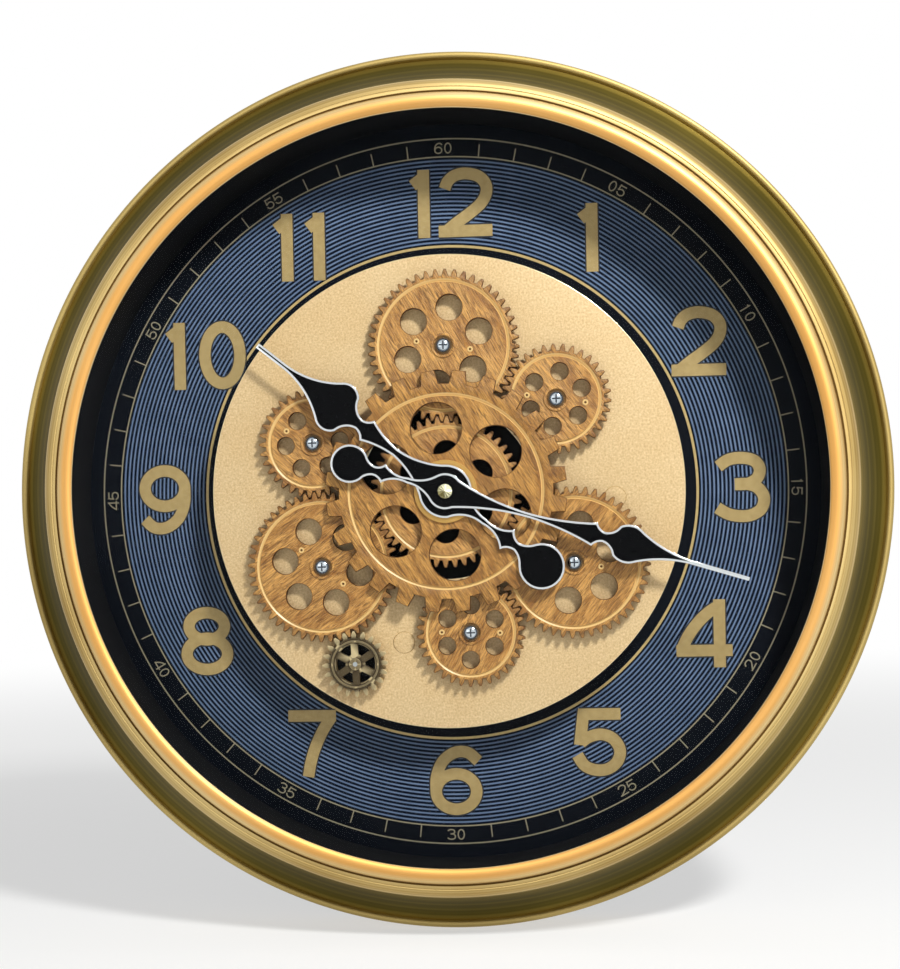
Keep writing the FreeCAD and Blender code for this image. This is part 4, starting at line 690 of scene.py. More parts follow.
WHEEL_REAR, WHEEL_FRONT, WHEEL_EDGE = 59.0, 63.0, 0.3
GROOVE_DEPTH, GROOVE_WIDTH, GROOVE_LIP, RIM_BAND = 1.2, 1.8, 0.12, 3.8
BOSS_RADIUS, BOSS_RECESS, BOSS_RISE, BOSS_FLOOR, BOSS_TAIL, BOSS_EDGE = 8.1, 6.4, 0.8, 0.6, 2.7, 0.3
EYELET_RADIUS, EYELET_BORE, EYELET_RISE, EYELET_FLOOR = 1.9, 0.8, 0.35, 0.1
LARGE_HOLES, SMALL_HOLES = (25.1, 8.7), (18.0, 5.8)  # reach and radius
LARGE_EYELETS, SMALL_EYELETS, WHEEL_BORE, BUSH_BORE = 17.8, 19.2, 3.55, 12.05
TEETH_SHADE_FROM, TEETH_SHADE_TO = -1.5, 4.5  # where the teeth darken as painted shade, from their root
GILT, BURNT_AND_SHADE = 1, 2  # slots of a wheel after its wood
# Laser-cut sides of the wheels: browned wood, darkest where the beam slowed. The same dark is also laid on the
# front roundings of teeth and holes and in the eyelet bores as painted shade
burnt_side_and_shade = mottled_finish("laser_browned_side_and_painted_shade", "#7A4E22", "#2E1A0A", 0.0, 0.7, 2.4, 3.0, None,
                            Specular_IOR_Level=0.2)


def grained_wood(name, grain_angle, light="#DDA55B", middle="#A16C32", dark="#523010", rim=None):
    """Oiled hardwood: fine grain streaks along grain_angle, with short dark pores and a satin sheen. A rim, as
    the wheel's place and two radii, is where the teeth are darkened as painted shade."""
    material, tree, shader = new_material(name, Roughness=0.42, Specular_IOR_Level=0.35)
    place = add_node(tree, "TexCoord").outputs["Object"]
    turned = (0.0, grain_angle, 0.0)

    def grain_noise(along, across, detail, distortion):
        """Noise stretched along the grain; its grain is along by across millimetres."""
        mapped = add_node(tree, "Mapping", {"Vector": place, "Rotation": turned,
                                            "Scale": (along / 1000, across / 1000, across / 1000)},
                          vector_type="TEXTURE").outputs[0]
        return add_node(tree, "TexNoise", {"Vector": mapped, "Scale": 1.0, "Detail": detail,
                                           "Distortion": distortion, "Roughness": 0.6}).outputs[0]

    streak = add_node(tree, "MapRange", {0: grain_noise(13.0, 1.05, 5.0, 1.7), 1: 0.43, 2: 0.62}).outputs[0]
    figure = add_node(tree, "MapRange", {0: grain_noise(30.0, 9.0, 4.0, 1.4), 1: 0.34, 2: 0.66}).outputs[0]
    pores = add_node(tree, "MapRange", {0: grain_noise(3.2, 0.4, 2.0, 0.0), 1: 0.60, 2: 0.70}).outputs[0]
    body = add_node(tree, "Mix", {0: figure, 6: colour(middle), 7: colour(light)}, data_type="RGBA").outputs[2]
    streak_share = add_node(tree, "Math", {0: streak, 1: 0.78}, operation="MULTIPLY").outputs[0]
    streaked = add_node(tree, "Mix", {0: streak_share, 6: body, 7: colour(dark)}, data_type="RGBA").outputs[2]
    pore_share = add_node(tree, "Math", {0: pores, 1: 0.5}, operation="MULTIPLY").outputs[0]
    tone = add_node(tree, "Mix", {0: pore_share, 6: streaked, 7: colour("#38200C")}, data_type="RGBA").outputs[2]
    # Painted shade on the teeth: the wood darkens towards #4A2A10 from their root outwards
    if rim:
        axis, start, end = rim
        browned = add_node(tree, "MapRange", {0: reach_of(tree, place, *axis), 1: start / 1000, 2: end / 1000,
                                              4: 0.45}).outputs[0]
        tone = add_node(tree, "Mix", {0: browned, 6: tone, 7: colour("#4A2A10")}, data_type="RGBA").outputs[2]
    tree.links.new(tone, shader.inputs["Base Color"])
    rough = add_node(tree, "MapRange", {0: streak, 3: 0.36, 4: 0.55}).outputs[0]
    tree.links.new(rough, shader.inputs["Roughness"])
    bump = add_node(tree, "Bump", {"Strength": 0.5, "Distance": 0.00014, "Height": streak},
                    invert=True).outputs[0]
    tree.links.new(bump, shader.inputs["Normal"])
    shader.inputs["Coat Weight"].default_value = 0.08
    shader.inputs["Coat Roughness"].default_value = 0.3
    return material


# Gilt lacquer of grooves and eyelets: bright where it faces the light, brown where it turns away
gilt_lining = mottled_finish("gilt_lacquer_lining", "#F6D592", "#C09150", 0.0, 0.35, 3.0)


def tooth_outline(teeth):
    """Involute outline, anticlockwise, its first tooth on the x axis; gives its root radius too."""
    pitch, pressure, play, root_depth = MODULE * teeth / 2, math.radians(20.0), 0.25, 1.25
    base, root, tip = pitch * math.cos(pressure), pitch - MODULE * root_depth, pitch + MODULE
    half_tooth = math.pi / teeth / 2 - play / (4 * pitch)
    flank_start = max(root, base)

    def half_angle(radius):
        """Half the angle that a tooth takes at a radius."""
        slope = math.acos(min(1.0, base / radius))
        return half_tooth + (math.tan(pressure) - pressure) - (math.tan(slope) - slope)

    flank = [(radius, half_angle(radius)) for radius in (flank_start, pitch, tip)]
    if root < base:
        flank.insert(0, (root, half_angle(base)))
    points = []
    for number in range(teeth):
        centre = math.tau * number / teeth
        sides = [(radius, centre - angle) for radius, angle in flank]
        sides += [(radius, centre + angle) for radius, angle in reversed(flank)]
        points += [(radius * math.cos(angle), radius * math.sin(angle)) for radius, angle in sides]
    return points, root


def moved(points, place, turn):
    """Points turned anticlockwise by turn degrees and moved to their place."""
    cos, sin = math.cos(math.radians(turn)), math.sin(math.radians(turn))
    return [(place[0] + x * cos - y * sin, place[1] + x * sin + y * cos) for x, y in points]


def meshed_turn(driver_turn, driver_teeth, direction, teeth, wanted):
    """Turn of a wheel that meshes with its driver, nearest to the wanted one, in degrees from the x axis."""
    step, driver_step = 360.0 / teeth, 360.0 / driver_teeth
    turn = direction + 180.0 + step * (0.5 - (driver_turn - direction) / driver_step)
    return turn + step * round((wanted - turn) / step)


def groove_path(outer, inner, front):
    """A turned groove with a wide slope towards its rim and a steep inner wall."""
    floor = front - GROOVE_DEPTH
    return [(outer + GROOVE_LIP, front), (outer, front - 0.06), (inner + 0.35, floor), (inner + 0.1, floor),
            (inner, front - 0.15), (inner - GROOVE_LIP, front)]


def through_hole(shape, x, y, radius, rear, front, edge, count=48):
    """A round hole with softened rims and a browned wall, its rims dark as painted shade; gives its loop for the
    flat faces.
    """
    spin(shape, softened([(radius + edge, front, 0), (radius, front, edge), (radius, rear, edge),
                          (radius + edge, rear, 0)], steps=3), count, x, y, slot=BURNT_AND_SHADE)
    return loop_of(radius + edge, count, x, y)


def add_eyelet(shape, spot):
    """A small gilt eyelet on a wheel's front, its bore dark as painted shade; gives its loop for the flat face.
    """
    top, floor = WHEEL_FRONT + EYELET_RISE, WHEEL_FRONT + EYELET_FLOOR
    spin(shape, softened([(EYELET_RADIUS, WHEEL_FRONT, 0), (EYELET_RADIUS, top, 0.2), (EYELET_BORE, top, 0.15),
                          (EYELET_BORE, floor, 0)], steps=2), 24, *spot, slot=GILT)
    spin(shape, [(EYELET_BORE, floor), (EYELET_BORE, WHEEL_FRONT), (0, WHEEL_FRONT)], 24, *spot, slot=BURNT_AND_SHADE)
    return loop_of(EYELET_RADIUS, 24, *spot)


def cut_wheel(name, teeth, place, turn, grain_angle, body, holes_at, bore, eyelets_at=None):
    """One fine-tooth wheel with groove and holes, and with boss and eyelets where eyelets_at gives a reach."""
    shape = bmesh.new()
    points, root = tooth_outline(teeth)
    # The teeth's sides are browned by the laser, their front roundings dark as painted shade
    flat = rounded_side(shape, moved(points, place, turn), WHEEL_REAR, WHEEL_FRONT, WHEEL_EDGE, BURNT_AND_SHADE, steps=2)
    outer = root - RIM_BAND + GROOVE_WIDTH
    inner, count = outer - GROOVE_WIDTH, 144
    spin(shape, groove_path(outer, inner, WHEEL_FRONT), count, *place, slot=GILT)
    groove_loop, disc_loop = (loop_of(radius, count, *place)
                              for radius in (outer + GROOVE_LIP, inner - GROOVE_LIP))
    hole_reach, hole_radius = holes_at
    holes = [through_hole(shape, *spot, hole_radius, WHEEL_REAR, WHEEL_FRONT, WHEEL_EDGE)
             for spot in moved(loop_of(hole_reach, 6), place, turn)]
    front_holes = list(holes)
    rear_bore = bore
    if eyelets_at:
        top, floor, tail = WHEEL_FRONT + BOSS_RISE, WHEEL_FRONT - BOSS_FLOOR, WHEEL_REAR - BOSS_TAIL
        spin(shape, softened([(BOSS_RADIUS + BOSS_EDGE, WHEEL_FRONT, 0), (BOSS_RADIUS, WHEEL_FRONT, BOSS_EDGE),
                              (BOSS_RADIUS, top, BOSS_EDGE), (BOSS_RECESS, top, BOSS_EDGE),
                              (BOSS_RECESS, floor, 0.2), (bore, floor, 0), (bore, tail, 0),
                              (BOSS_RADIUS, tail, BOSS_EDGE), (BOSS_RADIUS, WHEEL_REAR, 0)], steps=3), 64, *place)
        front_holes.append(loop_of(BOSS_RADIUS + BOSS_EDGE, 64, *place))
        rear_bore = BOSS_RADIUS
        for spot in moved([(0.0, eyelets_at), (0.0, -eyelets_at)], place, turn):
            front_holes.append(add_eyelet(shape, spot))
    else:
        spin(shape, [(bore, WHEEL_FRONT), (bore, WHEEL_REAR)], 64, *place)
        front_holes.append(loop_of(bore, 64, *place))
    cap_face(shape, WHEEL_FRONT, flat, [groove_loop])
    cap_face(shape, WHEEL_FRONT, disc_loop, front_holes)
    cap_face(shape, WHEEL_REAR, flat, holes + [loop_of(rear_bore, 64, *place)])
    # The teeth take painted shade between the given radii
    wood = grained_wood("oiled_teak_" + name, math.radians(grain_angle),
                        rim=(place, root + TEETH_SHADE_FROM, root + TEETH_SHADE_TO))
    make_piece(shape, name + "_cut", [wood, gilt_lining, burnt_side_and_shade], body, [name])


CENTRE_TOOTH = 1.5  # clock angle of one tooth, in degrees
centre_turn = 90.0 - CENTRE_TOOTH
cut_wheel("centre_wheel", WHEEL_TEETH, (0.0, 0.0), centre_turn, 50.0, "centre_wheels", LARGE_HOLES, BUSH_BORE)
large_turns = {}
for name, direction, wanted, grain_angle in (("top", 0, 9.0, 60.0), ("right", 120, 9.0, -52.0),
                                             ("left", 240, 37.0, -35.0)):
    large_turns[name] = meshed_turn(centre_turn, WHEEL_TEETH, 90.0 - direction, WHEEL_TEETH, 90.0 - wanted)
    cut_wheel(f"large_gear_{name}", WHEEL_TEETH, large_places[name], large_turns[name], grain_angle,
              f"{name}_wheel", LARGE_HOLES, WHEEL_BORE, LARGE_EYELETS)
for name, driver, wanted, grain_angle in (("upper", "top", 4.0, 50.0), ("lower", "right", 6.5, -60.0),
                                          ("left", "left", 31.0, 40.0)):
    away = small_places[name] - large_places[driver]
    turn = meshed_turn(large_turns[driver], WHEEL_TEETH, math.degrees(math.atan2(away.y, away.x)), SMALL_TEETH,
                       90.0 - wanted)
    cut_wheel(f"small_gear_{name}", SMALL_TEETH, small_places[name], turn, grain_angle, f"{name}_small_wheel",
              SMALL_HOLES, WHEEL_BORE, SMALL_EYELETS)

# Coarse gear on the bush, in front of the fine wheels: the same wood, 24 square teeth, six large windows and a
# groove lined with gilt lacquer.

COARSE_REAR, COARSE_FRONT, COARSE_EDGE = 64.0, 68.0, 0.35
COARSE_TEETH, COARSE_TIP, COARSE_ROOT, TIP_WIDTH, ROOT_WIDTH, ROOT_SINK = 24, 79.3, 70.6, 8.8, 12.2, 2.0
WINDOW_REACH, WINDOW_RADIUS, COARSE_GROOVE_OUT, COARSE_GROOVE_IN = 41.9, 16.9, 64.4, 62.6
BUSH_SEAT, BUSH_SHOULDER, REAR_RECESS, RECESS_FRONT = 14.55, 64.15, 16.0, 63.0
coarse = bmesh.new()
coarse_points = []
slant = (ROOT_WIDTH - TIP_WIDTH) / 2 / (COARSE_TIP - COARSE_ROOT + ROOT_SINK)
half_root = TIP_WIDTH / 2 + slant * (COARSE_TIP - COARSE_ROOT)
root_reach = math.sqrt(COARSE_ROOT ** 2 - half_root ** 2)
for number in range(COARSE_TEETH):
    centre = math.tau * number / COARSE_TEETH
    along, across = Vector((math.cos(centre), math.sin(centre))), Vector((-math.sin(centre), math.cos(centre)))
    coarse_points += [tuple(along * root_reach - across * half_root),
                      tuple(along * COARSE_TIP - across * TIP_WIDTH / 2),
                      tuple(along * COARSE_TIP + across * TIP_WIDTH / 2),
                      tuple(along * root_reach + across * half_root)]
    coarse_points.append((COARSE_ROOT * math.cos(centre + math.pi / COARSE_TEETH),
                          COARSE_ROOT * math.sin(centre + math.pi / COARSE_TEETH)))
COARSE_TOOTH = 352.5  # clock angle of one tooth, in degrees
coarse_turn = 90.0 - COARSE_TOOTH
# The coarse teeth's sides are browned by the laser, their front roundings dark as painted shade
coarse_flat = rounded_side(coarse, moved(coarse_points, (0, 0), coarse_turn), COARSE_REAR, COARSE_FRONT,
                           COARSE_EDGE, BURNT_AND_SHADE)
spin(coarse, groove_path(COARSE_GROOVE_OUT, COARSE_GROOVE_IN, COARSE_FRONT), 180, slot=GILT)
windows = [through_hole(coarse, *spot, WINDOW_RADIUS, COARSE_REAR, COARSE_FRONT, COARSE_EDGE, 72)
           for spot in moved(loop_of(WINDOW_REACH, 6), (0, 0), coarse_turn)]
spin(coarse, [(BUSH_SEAT, COARSE_FRONT), (BUSH_SEAT, BUSH_SHOULDER), (BUSH_BORE, BUSH_SHOULDER),
              (BUSH_BORE, RECESS_FRONT), (REAR_RECESS, RECESS_FRONT), (REAR_RECESS, COARSE_REAR)], 72)
cap_face(coarse, COARSE_FRONT, coarse_flat, [loop_of(COARSE_GROOVE_OUT + GROOVE_LIP, 180)])
cap_face(coarse, COARSE_FRONT, loop_of(COARSE_GROOVE_IN - GROOVE_LIP, 180), windows + [loop_of(BUSH_SEAT, 72)])
cap_face(coarse, COARSE_REAR, coarse_flat, windows + [loop_of(REAR_RECESS, 72)])
coarse_wood = grained_wood("oiled_teak_coarse_gear", math.radians(58.0), "#D39B4F", "#95632A", "#4C2D0D")
make_piece(coarse, "coarse_gear_cut", [coarse_wood, gilt_lining, burnt_side_and_shade], "centre_wheels",
           ["centre_gear"])

# Bush of the central wheels. It is turned from brass bar, with a bright dished collar in front that is seen round
# the hands. The coarse gear and the fine wheel sit on its barrel, and it turns on the movement carrier's tube.

# Turned brass: bright satin with fine rings
turned_brass = spun_metal("turned_brass", "#E0B264", "#94692F", 0.5, 0.36, metallic=0.7)
TUBE_BORE, BARREL, SHOULDER_RADIUS, COLLAR_RADIUS, HAND_RECESS = 9.05, 12.0, 14.5, 20.7, 13.0
DISH_RIM, DISH_OUT, DISH_IN = 17.0, 16.2, 13.6
BUSH_REAR, BUSH_STEP, COLLAR_REAR, COLLAR_FRONT, DISH_FLOOR, RECESS_FLOOR = 57.2, 64.2, 68.0, 69.5, 69.1, 65.7
bush = bmesh.new()
spin(bush, softened([(TUBE_BORE, BUSH_REAR, 0), (BARREL, BUSH_REAR, 0.2), (BARREL, BUSH_STEP, 0),
                     (SHOULDER_RADIUS, BUSH_STEP, 0), (SHOULDER_RADIUS, COLLAR_REAR, 0),
                     (COLLAR_RADIUS, COLLAR_REAR, 0.1), (COLLAR_RADIUS, COLLAR_FRONT, 0.5),
                     (DISH_RIM, COLLAR_FRONT, 0.3), (DISH_OUT, DISH_FLOOR, 0.3), (DISH_IN, DISH_FLOOR, 0.3),
                     (HAND_RECESS, COLLAR_FRONT, 0.2), (HAND_RECESS, RECESS_FLOOR, 0.3),
                     (TUBE_BORE, RECESS_FLOOR, 0), (TUBE_BORE, BUSH_REAR, 0)], steps=3), 96)
make_piece(bush, "collared_bush", [turned_brass], "centre_wheels", ["centre_bush"])

# Drive pinion: die-cast zinc with an antique bronze plating, dark in its hollows. It sits on the motor's shaft
# and drives the lower left wheel.

# Antique bronze: brown, worn lighter on its edges and high spots
bronze, bronze_tree, bronze_shader = new_material("antique_bronze_plating", Metallic=0.75, Roughness=0.4)
bronze_noise = add_node(bronze_tree, "TexNoise", {"Scale": 1000 / 2.5, "Detail": 4.0}).outputs[0]
worn = add_node(bronze_tree, "MapRange", {0: add_node(bronze_tree, "NewGeometry").outputs["Pointiness"],
                                          1: 0.505, 2: 0.57}).outputs[0]
bronze_low = add_node(bronze_tree, "Mix", {0: bronze_noise, 6: colour("#2A2116"), 7: colour("#57472F")},
                      data_type="RGBA").outputs[2]
bronze_tone = add_node(bronze_tree, "Mix", {0: worn, 6: bronze_low, 7: colour("#CDB88C")}, data_type="RGBA")
bronze_tree.links.new(bronze_tone.outputs[2], bronze_shader.inputs["Base Color"])
bronze_bump = add_node(bronze_tree, "Bump", {"Strength": 0.3, "Distance": 0.0001, "Height": bronze_noise})
bronze_tree.links.new(bronze_bump.outputs[0], bronze_shader.inputs["Normal"])

pinion = bmesh.new()
pinion_turn = meshed_turn(large_turns["left"], WHEEL_TEETH, 90.0 - PINION_DIRECTION, PINION_TEETH, 90.0)
pinion_points, _ = tooth_outline(PINION_TEETH)
pinion_flat = rounded_side(pinion, moved(pinion_points, pinion_place, pinion_turn), WHEEL_REAR, WHEEL_FRONT,
                           WHEEL_EDGE, steps=2)
RIM_OUT, RIM_IN, RIM_TOP, WEB_TOP, HUB, SHAFT_BORE = 15.9, 14.6, WHEEL_FRONT + 0.8, WHEEL_FRONT - 1.0, 4.0, 1.55
RIM_FILLET, WEB_FILLET = 0.2, 0.3
spin(pinion, softened([(RIM_OUT + RIM_FILLET, WHEEL_FRONT, 0), (RIM_OUT, WHEEL_FRONT, RIM_FILLET),
                       (RIM_OUT, RIM_TOP, 0.25), (RIM_IN, RIM_TOP, 0.25), (RIM_IN, WEB_TOP, WEB_FILLET),
                       (RIM_IN - WEB_FILLET, WEB_TOP, 0)], steps=3), 96, *pinion_place)
spin(pinion, softened([(HUB + WEB_FILLET, WEB_TOP, 0), (HUB, WEB_TOP, WEB_FILLET), (HUB, RIM_TOP, 0.4),
                       (SHAFT_BORE, RIM_TOP, 0.2), (SHAFT_BORE, WHEEL_REAR, 0)], steps=3), 48, *pinion_place)
window_loops = []
WINDOW_IN, WINDOW_OUT, HALF_SPOKE, WINDOW_EDGE = 6.6, 13.2, 2.475, 0.25
outer_gap, inner_gap = math.asin(HALF_SPOKE / WINDOW_OUT), math.asin(HALF_SPOKE / WINDOW_IN)
for number in range(6):
    low, high = math.tau * number / 6, math.tau * (number + 1) / 6
    outer_angles = [low + outer_gap + (high - low - 2 * outer_gap) * k / 8 for k in range(9)]
    inner_angles = [high - inner_gap - (high - low - 2 * inner_gap) * k / 4 for k in range(5)]
    window = [(WINDOW_OUT * math.cos(a), WINDOW_OUT * math.sin(a)) for a in outer_angles]
    window += [(WINDOW_IN * math.cos(a), WINDOW_IN * math.sin(a)) for a in inner_angles]
    window = moved(window, pinion_place, pinion_turn)
    window_loops.append(swap(rounded_side(pinion, swap(window), WHEEL_REAR, WEB_TOP, WINDOW_EDGE, steps=2)))
cap_face(pinion, WHEEL_FRONT, pinion_flat, [loop_of(RIM_OUT + RIM_FILLET, 96, *pinion_place)])
cap_face(pinion, WEB_TOP, loop_of(RIM_IN - WEB_FILLET, 96, *pinion_place),
         window_loops + [loop_of(HUB + WEB_FILLET, 48, *pinion_place)])
cap_face(pinion, WHEEL_REAR, pinion_flat, window_loops + [loop_of(SHAFT_BORE, 48, *pinion_place)])
make_piece(pinion, "bronze_pinion", [bronze], "drive_pinion_group", ["drive_pinion"])

# Hands. Each is stamped steel sheet with a polished edge and a black enamelled face; the tip bar stays bright.
# They press on the hour pipe and the minute arbor.

# Polished steel: bright, with faint hairlines
polished_steel = mottled_finish("polished_steel", "#F0F0F0", "#C9CBCE", 1.0, 0.16, 2.0)
# Black enamel: deep gloss, slightly domed by the brush
enamel = mottled_finish("gloss_black_enamel", "#08080A", "#020203", 0.0, 0.12, 16.0, 1.0, (0.04, 0.1),
                        Specular_IOR_Level=0.05)

# Half outlines from tip to tail, in millimetres: a corner, and the point that the arc to it passes through
HOUR_OUTLINE = [(156.5, 0.0), (156.5, 1.8), (133.0, 1.8), (97.3, 14.6, 113.5, 5.6), (81.6, 13.2, 89.1, 17.5),
                (71.9, 3.8, 77.4, 6.3), (65.0, 8.2, 68.0, 5.0), (41.6, 2.7, 53.0, 4.2), (12.0, 12.7, 25.5, 5.9),
                (-12.0, 12.7, 0.0, 17.5), (-32.0, 2.3, -19.5, 5.2), (-51.3, 8.2, -44.5, 3.4),
                (-59.1, 3.1, -54.3, 4.6), (-67.5, 9.0, -63.8, 5.2), (-94.7, 0.0, -79.6, 15.1)]
MINUTE_OUTLINE = [(204.4, 0.0), (204.4, 1.3), (164.0, 1.4), (131.0, 10.3, 146.0, 4.4), (115.5, 9.8, 122.0, 12.5),
                  (107.0, 3.4, 112.0, 5.2), (101.0, 7.8, 103.6, 4.8), (58.5, 1.6, 80.0, 3.5),
                  (7.2, 9.35, 30.0, 3.9), (-8.5, 8.2, 0.0, 11.8), (-25.7, 2.0, -15.0, 3.9),
                  (-42.3, 6.5, -36.8, 2.9), (-48.9, 3.2, -44.8, 4.1), (-55.6, 8.2, -52.8, 4.9),
                  (-77.8, 0.0, -65.2, 12.6)]


def hand_loop(half):
    """Anticlockwise outline of a hand along x, from its half outline on the upper side."""
    upper = [half[0][:2]]
    for corner in half[1:]:
        if len(corner) == 4:
            upper += bowed(upper[-1], corner[2:], corner[:2], 12)[1:]
        else:
            upper.append(corner[:2])
    return upper + [(x, -y) for x, y in reversed(upper[1:-1])]


def far_inside(outline, distance):
    """The outline moved inwards, without the stretches where the hand is too narrow for it."""
    kept, nearly = [], 0.97
    segments = [(Vector(a), Vector(b)) for a, b in zip(outline, outline[1:] + outline[:1])]
    for x, y in inset(outline, distance):
        here = Vector((x, y))
        gaps = []
        for a, b in segments:
            share = max(0.0, min(1.0, (here - a).dot(b - a) / max((b - a).length_squared, 1e-9)))
            gaps.append((here - a - (b - a) * share).length)
        if min(gaps) > distance * nearly:
            kept.append((x, y))
    return kept


HAND_BORDER, HAND_EDGE = 1.35, 0.22
HOUR_REAR, HOUR_FRONT, HOUR_BORE = 70.2, 71.2, 3.05
MINUTE_REAR, MINUTE_FRONT, MINUTE_BORE = 72.0, 73.0, 1.55
MINUTES, HOUR = 17.88, 10  # the time in the photograph


def stamp_hand(name, half, clock_angle, rear, front, bore, body, node):
    """A hand with a polished border and an enamelled face, turned clockwise from twelve by clock_angle."""
    outline = hand_loop(half)
    turn = 90.0 - clock_angle
    shape = bmesh.new()
    flat = rounded_side(shape, moved(outline, (0, 0), turn), rear, front, HAND_EDGE)
    enamel_loop = moved(far_inside(outline, HAND_BORDER), (0, 0), turn)
    bore_loop = loop_of(bore, 48)
    spin(shape, [(bore, front), (bore, rear)], 48)
    cap_face(shape, front, flat, [enamel_loop])
    cap_face(shape, front, enamel_loop, [bore_loop], slot=1)
    cap_face(shape, rear, flat, [bore_loop])
    make_piece(shape, name, [polished_steel, enamel], body, [node])


stamp_hand("hour_hand_stamped", HOUR_OUTLINE, 30.0 * HOUR + MINUTES / 2, HOUR_REAR, HOUR_FRONT, HOUR_BORE,
           "hour_hand_group", "hour_hand")
stamp_hand("minute_hand_stamped", MINUTE_OUTLINE, 6.0 * MINUTES, MINUTE_REAR, MINUTE_FRONT, MINUTE_BORE,
           "minute_hand_group", "minute_hand")

# Hand nut. A small turned brass nut, pressed on the arbor in front of the minute hand, with twelve diamond-cut
# facets round a point, which a painted glint makes bright where they face up and to the right and dark elsewhere.

NUT_RADIUS, NUT_BEVEL, NUT_FACETS, DIP_SHARE = 4.8, 0.2, 12, 0.3
NUT_REAR, NUT_RIM, NUT_DIP, NUT_CREST, NUT_BORE_END = 73.0, 74.2, 74.55, 75.5, 74.3

# Diamond-cut pale brass, near mirror, with a painted glint: each facet is painted bright when it faces up and to
# the right, dark otherwise, with a little noise
glint_painted_brass, cut_tree, cut_shader = new_material("pale_brass_painted_glint", Metallic=0.9, Roughness=0.16)
cut_normal = add_node(cut_tree, "TexCoord").outputs["Normal"]
# Painted glint: the direction, up and to the right, in which the bright facets face
glint_facing = add_node(cut_tree, "VectorMath", {0: cut_normal, 1: (0.7, 0.0, 0.7)},
                  operation="DOT_PRODUCT").outputs["Value"]
glint_noise = add_node(cut_tree, "TexNoise", {"Scale": 1000 / 1.4, "Detail": 2.0}).outputs[0]
painted_glint = add_node(cut_tree, "Math", {0: glint_facing, 1: glint_noise}, operation="ADD").outputs[0]
painted_glint = add_node(cut_tree, "MapRange", {0: painted_glint, 1: 0.36, 2: 0.66}).outputs[0]
glint_tone = add_node(cut_tree, "Mix", {0: painted_glint, 6: colour("#6F6436"), 7: colour("#FFF8D2")}, data_type="RGBA")
cut_tree.links.new(glint_tone.outputs[2], cut_shader.inputs["Base Color"])
nut = bmesh.new()
spin(nut, [(MINUTE_BORE, NUT_REAR), (NUT_RADIUS - NUT_BEVEL, NUT_REAR), (NUT_RADIUS, NUT_REAR + NUT_BEVEL),
           (NUT_RADIUS, NUT_RIM)], NUT_FACETS)
spin(nut, [(MINUTE_BORE, NUT_REAR), (MINUTE_BORE, NUT_BORE_END), (0, NUT_BORE_END)], NUT_FACETS)
crest = nut.verts.new(face_point(0, 0, NUT_CREST))
rim = loop_of(NUT_RADIUS, NUT_FACETS)
for number, (x, y) in enumerate(rim):
    far_x, far_y = rim[(number + 1) % NUT_FACETS]
    near_rim, far_rim = (nut.verts.new(face_point(*corner, NUT_RIM)) for corner in ((x, y), (far_x, far_y)))
    dip = nut.verts.new(face_point((x + far_x) * DIP_SHARE, (y + far_y) * DIP_SHARE, NUT_DIP))
    for corners in ((near_rim, far_rim, dip), (near_rim, dip, crest), (far_rim, crest, dip)):
        nut.faces.new(corners)
make_piece(nut, "faceted_hand_nut", [glint_painted_brass], "minute_hand_group", ["hand_nut"], crease=5.0)

# Pieces that stay as the CAD gives them: posts, screws, movement, motor, tray and the back. Each is bought in or
# cut from plain sheet and board, and gets the finish of its real material.

# Zinc-plated steel: grey, satin, slightly mottled
zinc_steel = mottled_finish("zinc_plated_steel", "#C6C8C8", "#9EA2A4", 1.0, 0.38, 6.0)
# Black painted hardboard of the back: matt, with a fibre tooth
black_board = mottled_finish("black_painted_hardboard", "#1C1A18", "#100F0E", 0.0, 0.8, 2.2)
# Grey ABS of the setting knob, so that it is found on the black back: satin
grey_abs = mottled_finish("moulded_grey_abs", "#8C8F92", "#74777A", 0.0, 0.45, 2.5)
# Printed steel jacket of the cells: plain grey
cell_jacket = mottled_finish("plain_cell_jacket", "#3A3D44", "#2A2C32", 0.3, 0.4, 8.0)
# Chromed screw heads with painted shade: bright on the crown, painted dark by depth in the cross slots and round
# the rim
HEAD_FRONT, CROWN_DEPTH, SLOT_DEPTH = 65.7, 0.5, 1.05
screw_steel_painted_shade, screw_tree, screw_shader = new_material("chromed_screws_painted_slot_shade", Metallic=1.0, Roughness=0.14)
screw_noise = add_node(screw_tree, "TexNoise", {"Scale": 1000 / 1.5, "Detail": 2.0}).outputs[0]
chrome = add_node(screw_tree, "Mix", {0: screw_noise, 6: colour("#AEB6BE"), 7: colour("#E4E8EC")},
                  data_type="RGBA")
head_place = add_node(screw_tree, "TexCoord").outputs["Object"]
head_level = add_node(screw_tree, "VectorMath", {0: head_place, 1: (0.0, -1000.0, 0.0)},
                      operation="DOT_PRODUCT").outputs["Value"]
unshaded_share = add_node(screw_tree, "MapRange", {0: head_level, 1: HEAD_FRONT - SLOT_DEPTH,
                                          2: HEAD_FRONT - CROWN_DEPTH}).outputs[0]
# Painted shade: dark grey where the head lies deeper than its crown
screw_tone_with_painted_shade = add_node(screw_tree, "Mix", {0: unshaded_share, 6: colour("#4E535B"), 7: chrome.outputs[2]}, data_type="RGBA")
screw_tree.links.new(screw_tone_with_painted_shade.outputs[2], screw_shader.inputs["Base Color"])
